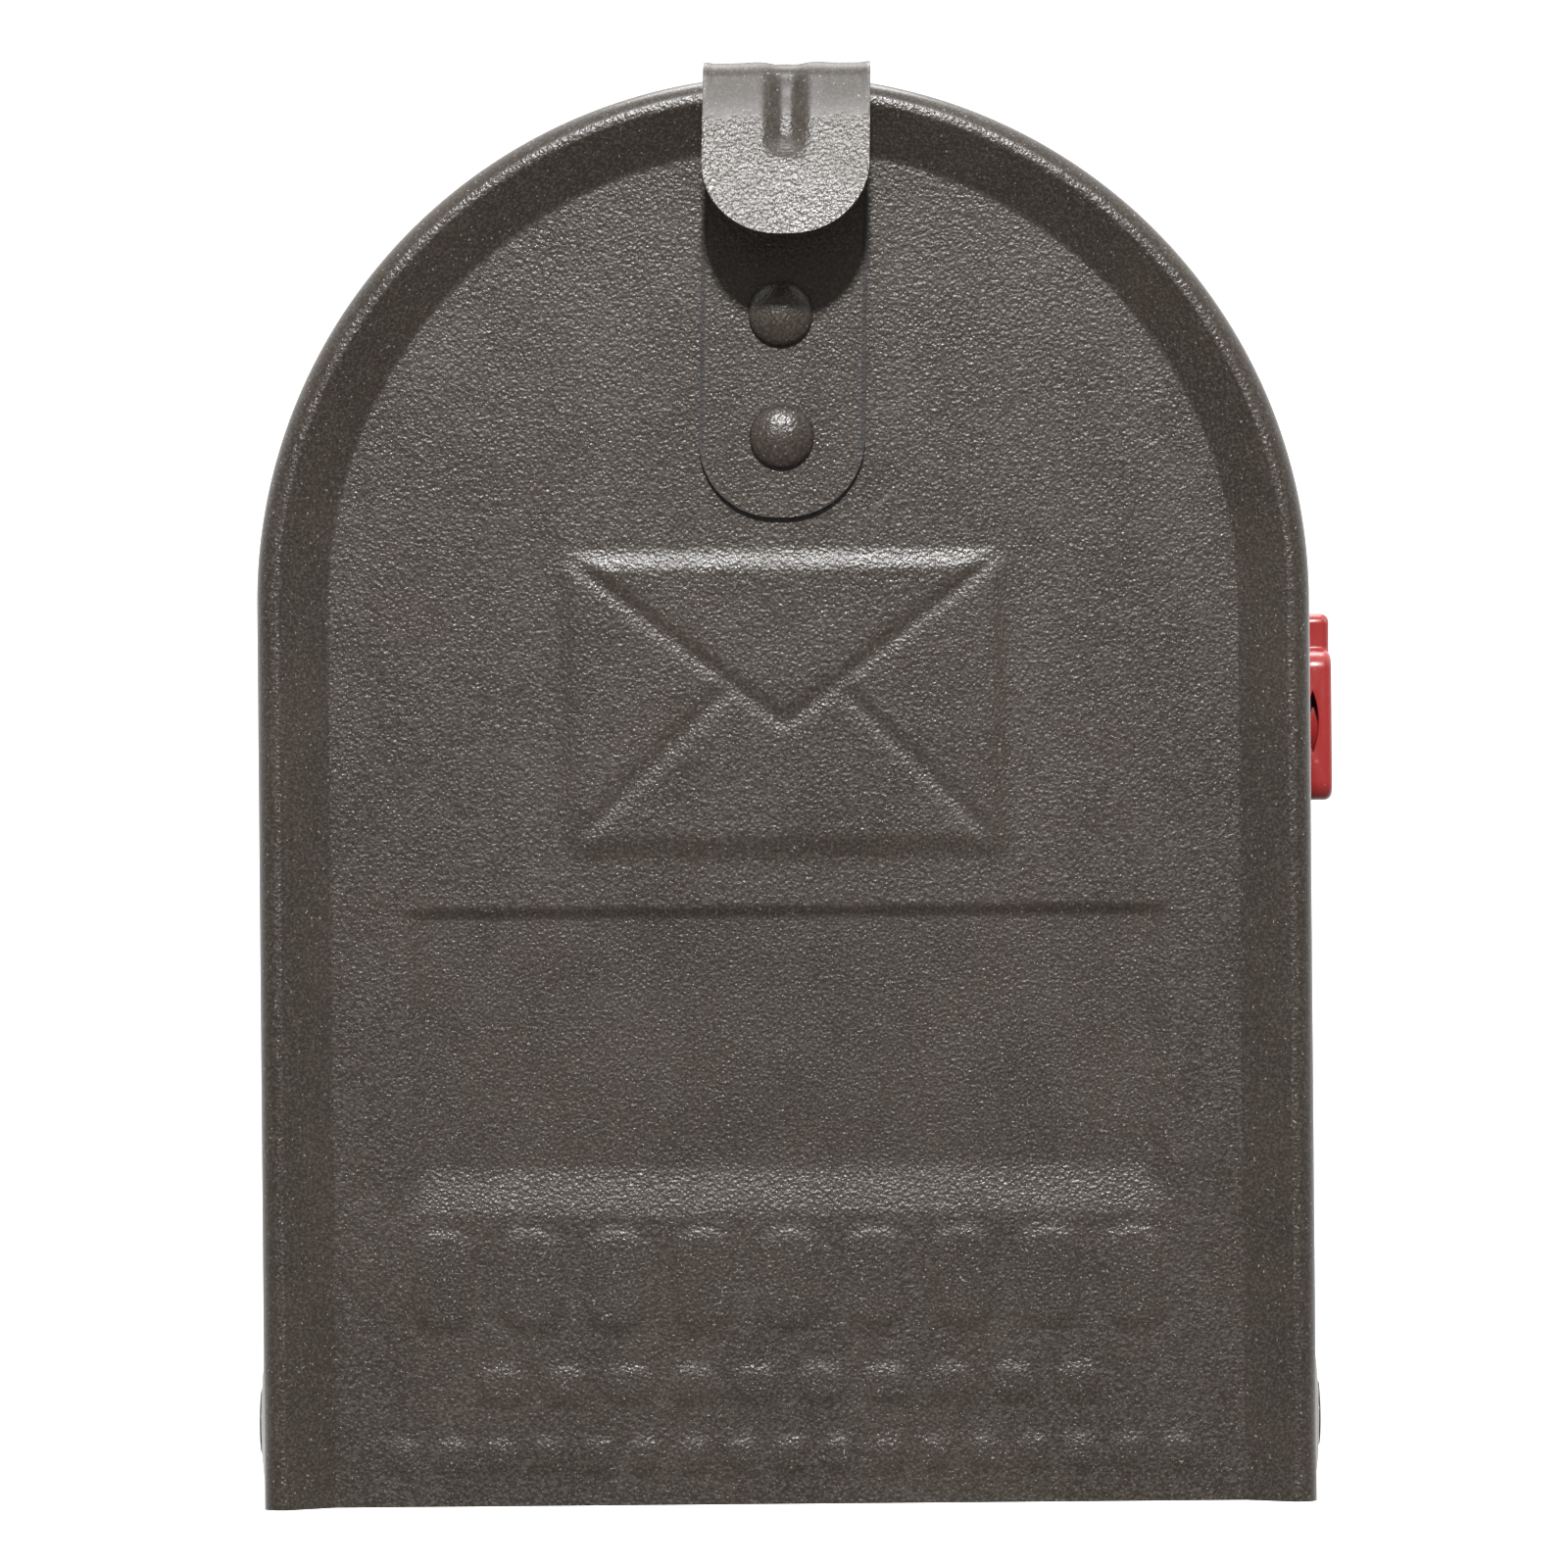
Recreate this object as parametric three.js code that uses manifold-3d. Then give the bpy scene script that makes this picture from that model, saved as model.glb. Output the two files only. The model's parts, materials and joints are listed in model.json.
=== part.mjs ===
// Arch-top roadside mailbox for a post or rail: a pressed sheet-steel body on a board,
// with a drop-down front door, a spring catch and a turning signal flag.
//
// Millimetres, +Z up. The door faces -Y and the flag is on the +X side.
// The origin is the centre of the floor panel's underside, where the mounting board seats.

import * as THREE from 'three';
import { mergeVertices } from 'three/addons/utils/BufferGeometryUtils.js';
import Module from 'manifold-3d';

const wasm = await Module();
wasm.setup();

// ---------------------------------------------------------------------------
// Driving dimensions
// ---------------------------------------------------------------------------

const SHEET = 0.9; // steel sheet of the body, door, floor and rear panel
const GAP = 0.3; // clearance between pieces that bear on each other
const BODY_HALF = 79; // outside half width, and the outside radius of the arch
const BODY_LENGTH = 484;
const SKIRT_DROP = 22; // side walls below the floor, over the mounting board
const ARCH_CENTRE_Z = 116;
const BEAD_HALF = 81; // the rolled beads stand this far out
const BEAD_WIDTH = 4;

const DOOR_RUNNING_GAP = 0.5; // between the body wall and the door's skirt
const DOOR_OVERHANG = 4; // door rim ahead of the body's front edge
const DOOR_OVERLAP = 12; // skirt length over the body
const DOOR_EDGE_RADIUS = 3;
const RIM_INNER_HALF = 76.9; // where the rim turns into the recess
const PANEL_HALF = 69.6; // flat part of the recessed panel
const RECESS_DEPTH = 4.5;
const FIELD_HALF = 58.5; // shallow number field on the door
const FIELD_LOW = 22.1;
const FIELD_HIGH = 69.6;
const FIELD_DEPTH = 1.3;
const FIELD_SLOPE = 4;

const HINGE_SETBACK = 12.5; // hinge axis behind the front edge and above the bottom edge
const EAR_RADIUS = 12;
const EAR_RISE = 0.7;
const WASHER_THICKNESS = 0.8;

const STRAP_WIDTH = 25.4;
const STRAP_THICKNESS = 1.2;
const STRAP_LOW = 128.9;
const STRAP_END_RADIUS = 10.5;
const FOLD_TOP = 199;
const FOLD_RADIUS = 4;
const TAB_LOW = 172.5;
const TAB_TILT = THREE.MathUtils.degToRad(20);
const STRAP_RIVETS_Z = [160, 141.3];

const CATCH_WIDTH = 24;
const CATCH_NOSE_WIDTH = 12;
const CATCH_THICKNESS = 0.8;
const CATCH_PIVOT_Y = -170;
const CATCH_RIVET_X = 6.5;

const FLAG_PIVOT = { y: -165, z: 98 };
const FLAG_LENGTH = 150;
const FLAG_NOSE_HEIGHT = 24;
const FLAG_BLADE_HEIGHT = 30;
const FLAG_STEP_START = 6; // from the flag's front end
const FLAG_STEP_LENGTH = 3;
const FLAG_THICKNESS = 7.2;
const FLAG_WALL = 2;
const FLAG_CORNER = 6;

const SHANK_RADIUS = 2.4;
const HOLE_RADIUS = SHANK_RADIUS + GAP;
const FLOOR_RIVETS_Y = [-170, 25, 215];
const SCREW_HOLES_Y = [-135, 70, 180];
const SCREW_HOLE_RADIUS = 2.5;
const SCREW_HOLE_Z = -11;
const FLANGE_DROP = 17; // floor panel's side flanges
const FLANGE_FRONT = -200; // clear of the open door's lower edge
const REAR_PANEL_INSET = 14;

// Derived positions
const BOTTOM = -SKIRT_DROP;
const BODY_FRONT = -BODY_LENGTH / 2;
const BODY_REAR = BODY_LENGTH / 2;
const BODY_INNER = BODY_HALF - SHEET;
const CROWN_Z = ARCH_CENTRE_Z + BODY_HALF;
const HINGE = { y: BODY_FRONT + HINGE_SETBACK, z: BOTTOM + HINGE_SETBACK };
const DOOR_FRONT = BODY_FRONT - DOOR_OVERHANG;
const DOOR_SKIRT_REAR = BODY_FRONT + DOOR_OVERLAP;
const DOOR_INNER = BODY_HALF + DOOR_RUNNING_GAP;
const DOOR_HALF = DOOR_INNER + SHEET;
const PANEL_FACE = DOOR_FRONT + RECESS_DEPTH;
const EAR_FACE = DOOR_HALF + EAR_RISE;
const INSERT_HALF = BODY_INNER - GAP; // outside of the panels that sit inside the body
const REAR_PANEL_FACE = BODY_REAR - REAR_PANEL_INSET;

// Facets
const ARCH_SEGMENTS = 14; // half the facets of the half-circle arch
const CORNER_SEGMENTS = 3;
const ROUND_SEGMENTS = 14;
const WELD = 1e-4;

// ---------------------------------------------------------------------------
// Materials
// ---------------------------------------------------------------------------

const bronzeCoat = new THREE.MeshStandardMaterial({ color: 0x57514a, roughness: 0.6, metalness: 0.25 });
const flagRed = new THREE.MeshStandardMaterial({ color: 0xb8232b, roughness: 0.35, metalness: 0 });
const zincSteel = new THREE.MeshStandardMaterial({ color: 0xb9bbbb, roughness: 0.35, metalness: 0.9 });
const nylon = new THREE.MeshStandardMaterial({ color: 0xe6e3da, roughness: 0.6, metalness: 0 });

// ---------------------------------------------------------------------------
// Solids: joining and cutting closed geometries
// ---------------------------------------------------------------------------

function toSolid(geometry) {
  const bare = geometry.clone();
  bare.deleteAttribute('normal');
  bare.deleteAttribute('uv');
  const welded = mergeVertices(bare, WELD);
  const index = welded.index.array;
  const kept = [];
  for (let i = 0; i < index.length; i += 3) {
    const [a, b, c] = [index[i], index[i + 1], index[i + 2]];
    if (a !== b && b !== c && c !== a) kept.push(a, b, c);
  }
  const mesh = new wasm.Mesh({
    numProp: 3,
    vertProperties: Float32Array.from(welded.attributes.position.array),
    triVerts: Uint32Array.from(kept),
  });
  return new wasm.Manifold(mesh);
}

function toGeometry(solid) {
  const mesh = solid.getMesh();
  const geometry = new THREE.BufferGeometry();
  geometry.setAttribute('position', new THREE.BufferAttribute(mesh.vertProperties, mesh.numProp));
  geometry.setIndex(new THREE.BufferAttribute(mesh.triVerts, 1));
  return geometry;
}

function join(first, ...rest) {
  return rest.reduce((solid, other) => solid.add(other), first);
}

function cut(first, ...rest) {
  return rest.reduce((solid, other) => solid.subtract(other), first);
}

// ---------------------------------------------------------------------------
// Shapes and their extrusions
// ---------------------------------------------------------------------------

const NO_BEVEL = { bevelEnabled: false };

function bevel(size, thickness, segments) {
  return { bevelEnabled: true, bevelSize: size, bevelThickness: thickness, bevelSegments: segments };
}

// A shape drawn in X and Z, extruded from yFront back to yRear. A bevel adds to both ends.
function alongY(shape, yFront, yRear, options = NO_BEVEL, curveSegments = ARCH_SEGMENTS) {
  const geometry = new THREE.ExtrudeGeometry(shape, { depth: yRear - yFront, curveSegments, ...options });
  geometry.rotateX(Math.PI / 2);
  geometry.translate(0, yRear, 0);
  return toSolid(geometry);
}

const YZ_TO_WORLD = new THREE.Matrix4().makeBasis(
  new THREE.Vector3(0, 1, 0),
  new THREE.Vector3(0, 0, 1),
  new THREE.Vector3(1, 0, 0),
);

// A shape drawn in Y and Z, extruded from xLow to xHigh.
function alongX(shape, xLow, xHigh, options = NO_BEVEL, curveSegments = CORNER_SEGMENTS) {
  const geometry = new THREE.ExtrudeGeometry(shape, { depth: xHigh - xLow, curveSegments, ...options });
  geometry.applyMatrix4(YZ_TO_WORLD);
  geometry.translate(xLow, 0, 0);
  return toSolid(geometry);
}

// A shape drawn in X and Y, extruded from zLow to zHigh.
function alongZ(shape, zLow, zHigh, options = NO_BEVEL, curveSegments = CORNER_SEGMENTS) {
  const geometry = new THREE.ExtrudeGeometry(shape, { depth: zHigh - zLow, curveSegments, ...options });
  geometry.translate(0, 0, zLow);
  return toSolid(geometry);
}

function block(xLow, xHigh, yLow, yHigh, zLow, zHigh) {
  const geometry = new THREE.BoxGeometry(xHigh - xLow, yHigh - yLow, zHigh - zLow);
  geometry.translate((xLow + xHigh) / 2, (yLow + yHigh) / 2, (zLow + zHigh) / 2);
  return toSolid(geometry);
}

// A disc or cone on an axis parallel to X.
function discX(y, z, xLow, xHigh, radiusLow, radiusHigh = radiusLow, segments = ROUND_SEGMENTS) {
  const geometry = new THREE.CylinderGeometry(radiusHigh, radiusLow, xHigh - xLow, segments);
  geometry.rotateZ(-Math.PI / 2);
  geometry.translate((xLow + xHigh) / 2, y, z);
  return toSolid(geometry);
}

function discY(x, z, yLow, yHigh, radius) {
  const geometry = new THREE.CylinderGeometry(radius, radius, yHigh - yLow, ROUND_SEGMENTS);
  geometry.translate(x, (yLow + yHigh) / 2, z);
  return toSolid(geometry);
}

function discZ(x, y, zLow, zHigh, radius) {
  const geometry = new THREE.CylinderGeometry(radius, radius, zHigh - zLow, ROUND_SEGMENTS);
  geometry.rotateX(Math.PI / 2);
  geometry.translate(x, y, (zLow + zHigh) / 2);
  return toSolid(geometry);
}

// Arch outline: straight sides from bottom up to a half circle.
function archShape(halfWidth, bottom) {
  const shape = new THREE.Shape();
  shape.moveTo(-halfWidth, bottom);
  shape.lineTo(halfWidth, bottom);
  shape.lineTo(halfWidth, ARCH_CENTRE_Z);
  shape.absarc(0, ARCH_CENTRE_Z, halfWidth, 0, Math.PI, false);
  shape.closePath();
  return shape;
}

// Band between two arches, open at the bottom.
function archBandShape(outerHalf, innerHalf, bottom) {
  const shape = new THREE.Shape();
  shape.moveTo(outerHalf, bottom);
  shape.lineTo(outerHalf, ARCH_CENTRE_Z);
  shape.absarc(0, ARCH_CENTRE_Z, outerHalf, 0, Math.PI, false);
  shape.lineTo(-outerHalf, bottom);
  shape.lineTo(-innerHalf, bottom);
  shape.lineTo(-innerHalf, ARCH_CENTRE_Z);
  shape.absarc(0, ARCH_CENTRE_Z, innerHalf, Math.PI, 0, true);
  shape.lineTo(innerHalf, bottom);
  shape.closePath();
  return shape;
}

function roundedRect(left, right, low, high, radius) {
  const shape = new THREE.Shape();
  shape.moveTo(left + radius, low);
  shape.lineTo(right - radius, low);
  shape.absarc(right - radius, low + radius, radius, -Math.PI / 2, 0, false);
  shape.lineTo(right, high - radius);
  shape.absarc(right - radius, high - radius, radius, 0, Math.PI / 2, false);
  shape.lineTo(left + radius, high);
  shape.absarc(left + radius, high - radius, radius, Math.PI / 2, Math.PI, false);
  shape.lineTo(left, low + radius);
  shape.absarc(left + radius, low + radius, radius, Math.PI, Math.PI * 1.5, false);
  return shape;
}

// Side view of a bent strip: a line of points thickened by half the thickness each way.
function stripShape(points, thickness) {
  const left = [];
  const right = [];
  points.forEach((point, i) => {
    const before = points[Math.max(i - 1, 0)];
    const after = points[Math.min(i + 1, points.length - 1)];
    const into = new THREE.Vector2().subVectors(point, before).normalize();
    const out = new THREE.Vector2().subVectors(after, point).normalize();
    const along = into.add(out).normalize();
    const normal = new THREE.Vector2(-along.y, along.x).multiplyScalar(thickness / 2);
    left.push(point.clone().add(normal));
    right.unshift(point.clone().sub(normal));
  });
  return new THREE.Shape([...left, ...right]);
}

function arcPoints(centreY, centreZ, radius, fromDeg, toDeg, steps) {
  const points = [];
  for (let i = 0; i <= steps; i += 1) {
    const angle = THREE.MathUtils.degToRad(fromDeg + ((toDeg - fromDeg) * i) / steps);
    const y = centreY + radius * Math.cos(angle);
    const z = centreZ + radius * Math.sin(angle);
    points.push(new THREE.Vector2(y, z));
  }
  return points;
}

// ---------------------------------------------------------------------------
// Body shell
// ---------------------------------------------------------------------------

// Holes for the floor rivets and mounting screws, through both side walls.
function sideHoles() {
  const reach = BEAD_HALF + 5;
  const rivets = FLOOR_RIVETS_Y.map((y) => discX(y, SCREW_HOLE_Z, -reach, reach, HOLE_RADIUS));
  const screws = SCREW_HOLES_Y.map((y) => discX(y, SCREW_HOLE_Z, -reach, reach, SCREW_HOLE_RADIUS));
  return [...rivets, ...screws];
}

// Corner of the side wall below and ahead of the hinge, left as a quarter circle on its axis.
function lowerCornerWaste() {
  const far = SKIRT_DROP * 2;
  const shape = new THREE.Shape();
  shape.moveTo(HINGE.y - HINGE_SETBACK, HINGE.z);
  shape.absarc(HINGE.y, HINGE.z, HINGE_SETBACK, Math.PI, Math.PI * 1.5, false);
  shape.lineTo(HINGE.y, HINGE.z - far);
  shape.lineTo(HINGE.y - far, HINGE.z - far);
  shape.lineTo(HINGE.y - far, HINGE.z);
  shape.closePath();
  return alongX(shape, -BEAD_HALF, BEAD_HALF);
}

function bead(yCentre, bottom) {
  const chamfer = 0.8;
  const halfWidth = BEAD_WIDTH / 2;
  const band = archBandShape(BEAD_HALF - chamfer, BODY_HALF + 0.2, bottom);
  return alongY(band, yCentre - halfWidth + 1, yCentre + halfWidth - 1, bevel(chamfer, 1, 2));
}

function bodyShell() {
  const frontBeadY = DOOR_SKIRT_REAR + 1.7 + BEAD_WIDTH / 2;
  const rearBeadY = BODY_REAR - BEAD_WIDTH / 2 - 1;
  const clearOfDoor = 15;
  const wrap = alongY(archBandShape(BODY_HALF, BODY_INNER, BOTTOM), BODY_FRONT, BODY_REAR);
  const beaded = join(wrap, bead(frontBeadY, clearOfDoor), bead(rearBeadY, BOTTOM + 1));
  return cut(
    beaded,
    lowerCornerWaste(),
    discX(HINGE.y, HINGE.z, -BEAD_HALF, BEAD_HALF, HOLE_RADIUS),
    discX(FLAG_PIVOT.y, FLAG_PIVOT.z, 0, BEAD_HALF, HOLE_RADIUS),
    ...[-CATCH_RIVET_X, CATCH_RIVET_X].map((x) => discZ(x, CATCH_PIVOT_Y, ARCH_CENTRE_Z, CROWN_Z + 5, HOLE_RADIUS)),
    ...rearRivetPlaces().map((place) => rearRivetHole(place)),
    ...sideHoles(),
  );
}

// ---------------------------------------------------------------------------
// Floor and rear panels
// ---------------------------------------------------------------------------

function floorPanel() {
  const front = PANEL_FACE + SHEET + GAP * 2;
  const rear = REAR_PANEL_FACE - SHEET - GAP;
  const lipDrop = 5;
  const lipHalf = INSERT_HALF - 3;
  const ribDepth = 2;
  const deck = block(-INSERT_HALF, INSERT_HALF, front, rear, 0, SHEET);
  const flanges = [-1, 1].map((side) => {
    const [a, b] = [side * INSERT_HALF, side * (INSERT_HALF - SHEET)].sort((p, q) => p - q);
    return block(a, b, FLANGE_FRONT, rear, -FLANGE_DROP, SHEET);
  });
  const lip = block(-lipHalf, lipHalf, front, front + SHEET, -lipDrop, SHEET);
  const slope = bevel(2.4, ribDepth, 1);
  const ribs = [-40, 40].map((x) => {
    const outline = roundedRect(x - 6, x + 6, -185, 190, 5.9);
    return { raised: alongZ(outline, 0, SHEET, slope), hollow: alongZ(outline, -FLANGE_DROP, 0, slope) };
  });
  const pressed = join(deck, ...flanges, lip, ...ribs.map((rib) => rib.raised));
  return cut(pressed, ...ribs.map((rib) => rib.hollow), ...sideHoles());
}

// Rivets round the rear panel's flange: two low on the sides, two high, one on the crown.
function rearRivetPlaces() {
  return [
    { name: 'low_left', angle: Math.PI, z: 40 },
    { name: 'low_right', angle: 0, z: 40 },
    { name: 'high_left', angle: Math.PI * 0.75, z: ARCH_CENTRE_Z },
    { name: 'high_right', angle: Math.PI * 0.25, z: ARCH_CENTRE_Z },
    { name: 'crown', angle: Math.PI / 2, z: ARCH_CENTRE_Z },
  ];
}

const REAR_RIVET_Y = REAR_PANEL_FACE + 4;
const SMALL_SHANK = 1.6;

function rearRivetHole({ angle, z }) {
  const geometry = new THREE.CylinderGeometry(SMALL_SHANK + GAP, SMALL_SHANK + GAP, 12, ROUND_SEGMENTS);
  geometry.rotateZ(-Math.PI / 2);
  geometry.translate(BODY_HALF, 0, 0);
  geometry.rotateY(-angle);
  geometry.translate(0, REAR_RIVET_Y, z);
  return toSolid(geometry);
}

function rearPanel() {
  const bottom = BOTTOM + 0.5;
  const front = REAR_PANEL_FACE - SHEET;
  const stepOutline = archShape(58, 12);
  const slope = bevel(4, 3, 1);
  const pan = alongY(archShape(INSERT_HALF, bottom), front, BODY_REAR - GAP);
  const hollow = alongY(archShape(INSERT_HALF - SHEET, bottom + SHEET), REAR_PANEL_FACE, BODY_REAR + 5);
  const raised = alongY(stepOutline, front, REAR_PANEL_FACE, slope);
  const pressed = alongY(stepOutline, front - 10, front, slope);
  const holes = rearRivetPlaces().map((place) => rearRivetHole(place));
  return cut(join(cut(pan, hollow), raised), pressed, ...holes);
}

// ---------------------------------------------------------------------------
// Door
// ---------------------------------------------------------------------------

const BELOW_DOOR = BOTTOM - 40;

// The door's volume with its rounded rim and pressed recesses, moved back by an offset.
function doorBlank(halfWidth, edgeRadius, offset) {
  const rear = -205;
  const outline = archShape(halfWidth - edgeRadius, BELOW_DOOR);
  const front = DOOR_FRONT + offset;
  const blank = alongY(outline, front + edgeRadius, rear, bevel(edgeRadius, edgeRadius, 3));
  const recess = alongY(
    archShape(PANEL_HALF, BELOW_DOOR),
    front - 6,
    front,
    bevel(RIM_INNER_HALF - PANEL_HALF, RECESS_DEPTH, 1),
  );
  const fieldShape = roundedRect(
    -FIELD_HALF + FIELD_SLOPE,
    FIELD_HALF - FIELD_SLOPE,
    FIELD_LOW + FIELD_SLOPE,
    FIELD_HIGH - FIELD_SLOPE,
    2,
  );
  const face = PANEL_FACE + offset;
  const field = alongY(fieldShape, face - 6, face, bevel(FIELD_SLOPE, FIELD_DEPTH, 1), 1);
  return cut(blank, recess, field);
}

function doorPanel() {
  const outer = doorBlank(DOOR_HALF, DOOR_EDGE_RADIUS, 0);
  const inner = doorBlank(DOOR_INNER, DOOR_EDGE_RADIUS - SHEET, SHEET);
  const reach = BEAD_HALF + 10;
  const skirtZone = block(-reach, reach, DOOR_FRONT - 5, DOOR_SKIRT_REAR, BOTTOM, CROWN_Z + 10);
  const earZone = discX(HINGE.y, HINGE.z, -reach, reach, EAR_RADIUS, EAR_RADIUS, 28);
  const sheet = cut(outer, inner).intersect(join(skirtZone, earZone));
  const rootX = DOOR_HALF - 0.2;
  const bosses = [
    discX(HINGE.y, HINGE.z, rootX, EAR_FACE, EAR_RADIUS, EAR_RADIUS - 1, 28),
    discX(HINGE.y, HINGE.z, -EAR_FACE, -rootX, EAR_RADIUS - 1, EAR_RADIUS, 28),
  ];
  const pocketRadius = EAR_RADIUS - 1.8;
  const pocketReach = EAR_FACE - SHEET;
  const pockets = [
    discX(HINGE.y, HINGE.z, DOOR_INNER - 1, pocketReach, pocketRadius, pocketRadius, 28),
    discX(HINGE.y, HINGE.z, -pocketReach, 1 - DOOR_INNER, pocketRadius, pocketRadius, 28),
  ];
  const catchSlot = block(-8, 8, DOOR_FRONT + 5, DOOR_SKIRT_REAR - 3, CROWN_Z - 3, CROWN_Z + 5);
  return cut(
    join(sheet, ...bosses),
    ...pockets,
    discX(HINGE.y, HINGE.z, -reach, reach, HOLE_RADIUS),
    ...STRAP_RIVETS_Z.map((z) => discY(0, z, DOOR_FRONT - 5, BODY_FRONT + 10, HOLE_RADIUS)),
    catchSlot,
  );
}

// ---------------------------------------------------------------------------
// Latch strap: riveted to the door, stepped over its rim and folded down as a pull tab
// ---------------------------------------------------------------------------

const STRAP_BACK = PANEL_FACE - GAP;
const STRAP_MID = STRAP_BACK - STRAP_THICKNESS / 2;
const RIM_MID = DOOR_FRONT - GAP - STRAP_THICKNESS / 2;
const FOLD_MID_RADIUS = FOLD_RADIUS - STRAP_THICKNESS / 2;
const FOLD_CENTRE = { y: RIM_MID - FOLD_MID_RADIUS, z: FOLD_TOP - FOLD_RADIUS };

function strapLine() {
  const tiltDeg = THREE.MathUtils.radToDeg(TAB_TILT);
  const fold = arcPoints(FOLD_CENTRE.y, FOLD_CENTRE.z, FOLD_MID_RADIUS, 0, 180 - tiltDeg, 8);
  const tabStart = fold[fold.length - 1];
  const drop = tabStart.y - TAB_LOW;
  const tip = new THREE.Vector2(tabStart.x - drop * Math.tan(TAB_TILT), TAB_LOW);
  const stepLow = ARCH_CENTRE_Z + PANEL_HALF - 1.5;
  const stepHigh = ARCH_CENTRE_Z + RIM_INNER_HALF - 1;
  return [
    new THREE.Vector2(STRAP_MID, STRAP_LOW),
    new THREE.Vector2(STRAP_MID, stepLow),
    new THREE.Vector2(RIM_MID, stepHigh),
    ...fold,
    tip,
  ];
}

// Waste outside a rounded lower end, between two Y planes.
function roundedEndWaste(low, radius, yFront, yRear) {
  const half = STRAP_WIDTH / 2;
  const shape = new THREE.Shape();
  shape.moveTo(-half - 1, low - 2);
  shape.lineTo(half + 1, low - 2);
  shape.lineTo(half + 1, low + radius);
  shape.lineTo(half, low + radius);
  shape.absarc(half - radius, low + radius, radius, 0, -Math.PI / 2, true);
  shape.lineTo(radius - half, low);
  shape.absarc(radius - half, low + radius, radius, -Math.PI / 2, -Math.PI, true);
  shape.lineTo(-half - 1, low + radius);
  shape.closePath();
  return alongY(shape, yFront, yRear, NO_BEVEL, 4);
}

// Stiffening groove pressed across the fold: a ridge inside it and a groove outside it.
function gusset(radius) {
  const top = new THREE.Vector3(0, FOLD_CENTRE.y + 3, FOLD_TOP + 3.4);
  const foot = new THREE.Vector3(0, FOLD_CENTRE.y - 11.5, TAB_LOW + 14);
  const path = new THREE.LineCurve3(top, foot);
  const section = new THREE.Shape();
  section.absarc(0, 0, radius, 0, Math.PI * 2, false);
  const options = { steps: 1, bevelEnabled: false, extrudePath: path, curveSegments: 8 };
  return toSolid(new THREE.ExtrudeGeometry(section, options));
}

function latchStrap() {
  const half = STRAP_WIDTH / 2;
  const line = strapLine();
  const strip = alongX(stripShape(line, STRAP_THICKNESS), -half, half);
  const foldLine = line.slice(3);
  const fill = alongX(new THREE.Shape(foldLine), -half, half);
  const between = (STRAP_BACK + FOLD_CENTRE.y) / 2;
  const tabRadius = half - 1;
  const pressed = cut(join(strip, gusset(4.4).intersect(fill)), gusset(3.2));
  return cut(
    pressed,
    roundedEndWaste(STRAP_LOW, STRAP_END_RADIUS, between, STRAP_BACK + 2),
    roundedEndWaste(TAB_LOW - 0.5, tabRadius, FOLD_CENTRE.y - 30, FOLD_CENTRE.y - FOLD_RADIUS + 0.5),
    ...STRAP_RIVETS_Z.map((z) => discY(0, z, between, BODY_FRONT + 10, HOLE_RADIUS)),
  );
}

// ---------------------------------------------------------------------------
// Spring catch on the body's crown, its nose dropping into the door's slot
// ---------------------------------------------------------------------------

function bodyCatch() {
  const half = CATCH_THICKNESS / 2;
  const seatMid = CROWN_Z + GAP + half;
  const raisedMid = ARCH_CENTRE_Z + BEAD_HALF + GAP + half;
  const noseMid = ARCH_CENTRE_Z + DOOR_HALF - 0.5 + half;
  const noseY = (DOOR_FRONT + 5 + DOOR_SKIRT_REAR - 3) / 2;
  const line = [
    new THREE.Vector2(CATCH_PIVOT_Y + 6, seatMid),
    new THREE.Vector2(-212, seatMid),
    new THREE.Vector2(-218, raisedMid),
    new THREE.Vector2(noseY + 2.5, raisedMid),
    new THREE.Vector2(noseY + 0.6, noseMid),
    new THREE.Vector2(noseY - 0.6, noseMid),
    new THREE.Vector2(noseY - 2.5, raisedMid),
    new THREE.Vector2(DOOR_FRONT + 2.5, raisedMid),
  ];
  const wide = CATCH_WIDTH / 2;
  const narrow = CATCH_NOSE_WIDTH / 2;
  const strip = alongX(stripShape(line, CATCH_THICKNESS), -wide, wide);
  const outline = new THREE.Shape([
    new THREE.Vector2(-wide, CATCH_PIVOT_Y + 7),
    new THREE.Vector2(-wide, CATCH_PIVOT_Y - 20),
    new THREE.Vector2(-narrow, CATCH_PIVOT_Y - 40),
    new THREE.Vector2(-narrow, DOOR_FRONT),
    new THREE.Vector2(narrow, DOOR_FRONT),
    new THREE.Vector2(narrow, CATCH_PIVOT_Y - 40),
    new THREE.Vector2(wide, CATCH_PIVOT_Y - 20),
    new THREE.Vector2(wide, CATCH_PIVOT_Y + 7),
  ]);
  const trimmed = strip.intersect(alongZ(outline, CROWN_Z - 10, CROWN_Z + 10));
  const holes = [-CATCH_RIVET_X, CATCH_RIVET_X];
  return cut(trimmed, ...holes.map((x) => discZ(x, CATCH_PIVOT_Y, CROWN_Z - 10, CROWN_Z + 10, HOLE_RADIUS)));
}

// ---------------------------------------------------------------------------
// Signal flag
// ---------------------------------------------------------------------------

const FLAG_INNER = BODY_HALF + GAP + 1.4 + GAP;
const FLAG_OUTER = FLAG_INNER + FLAG_THICKNESS;

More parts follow.
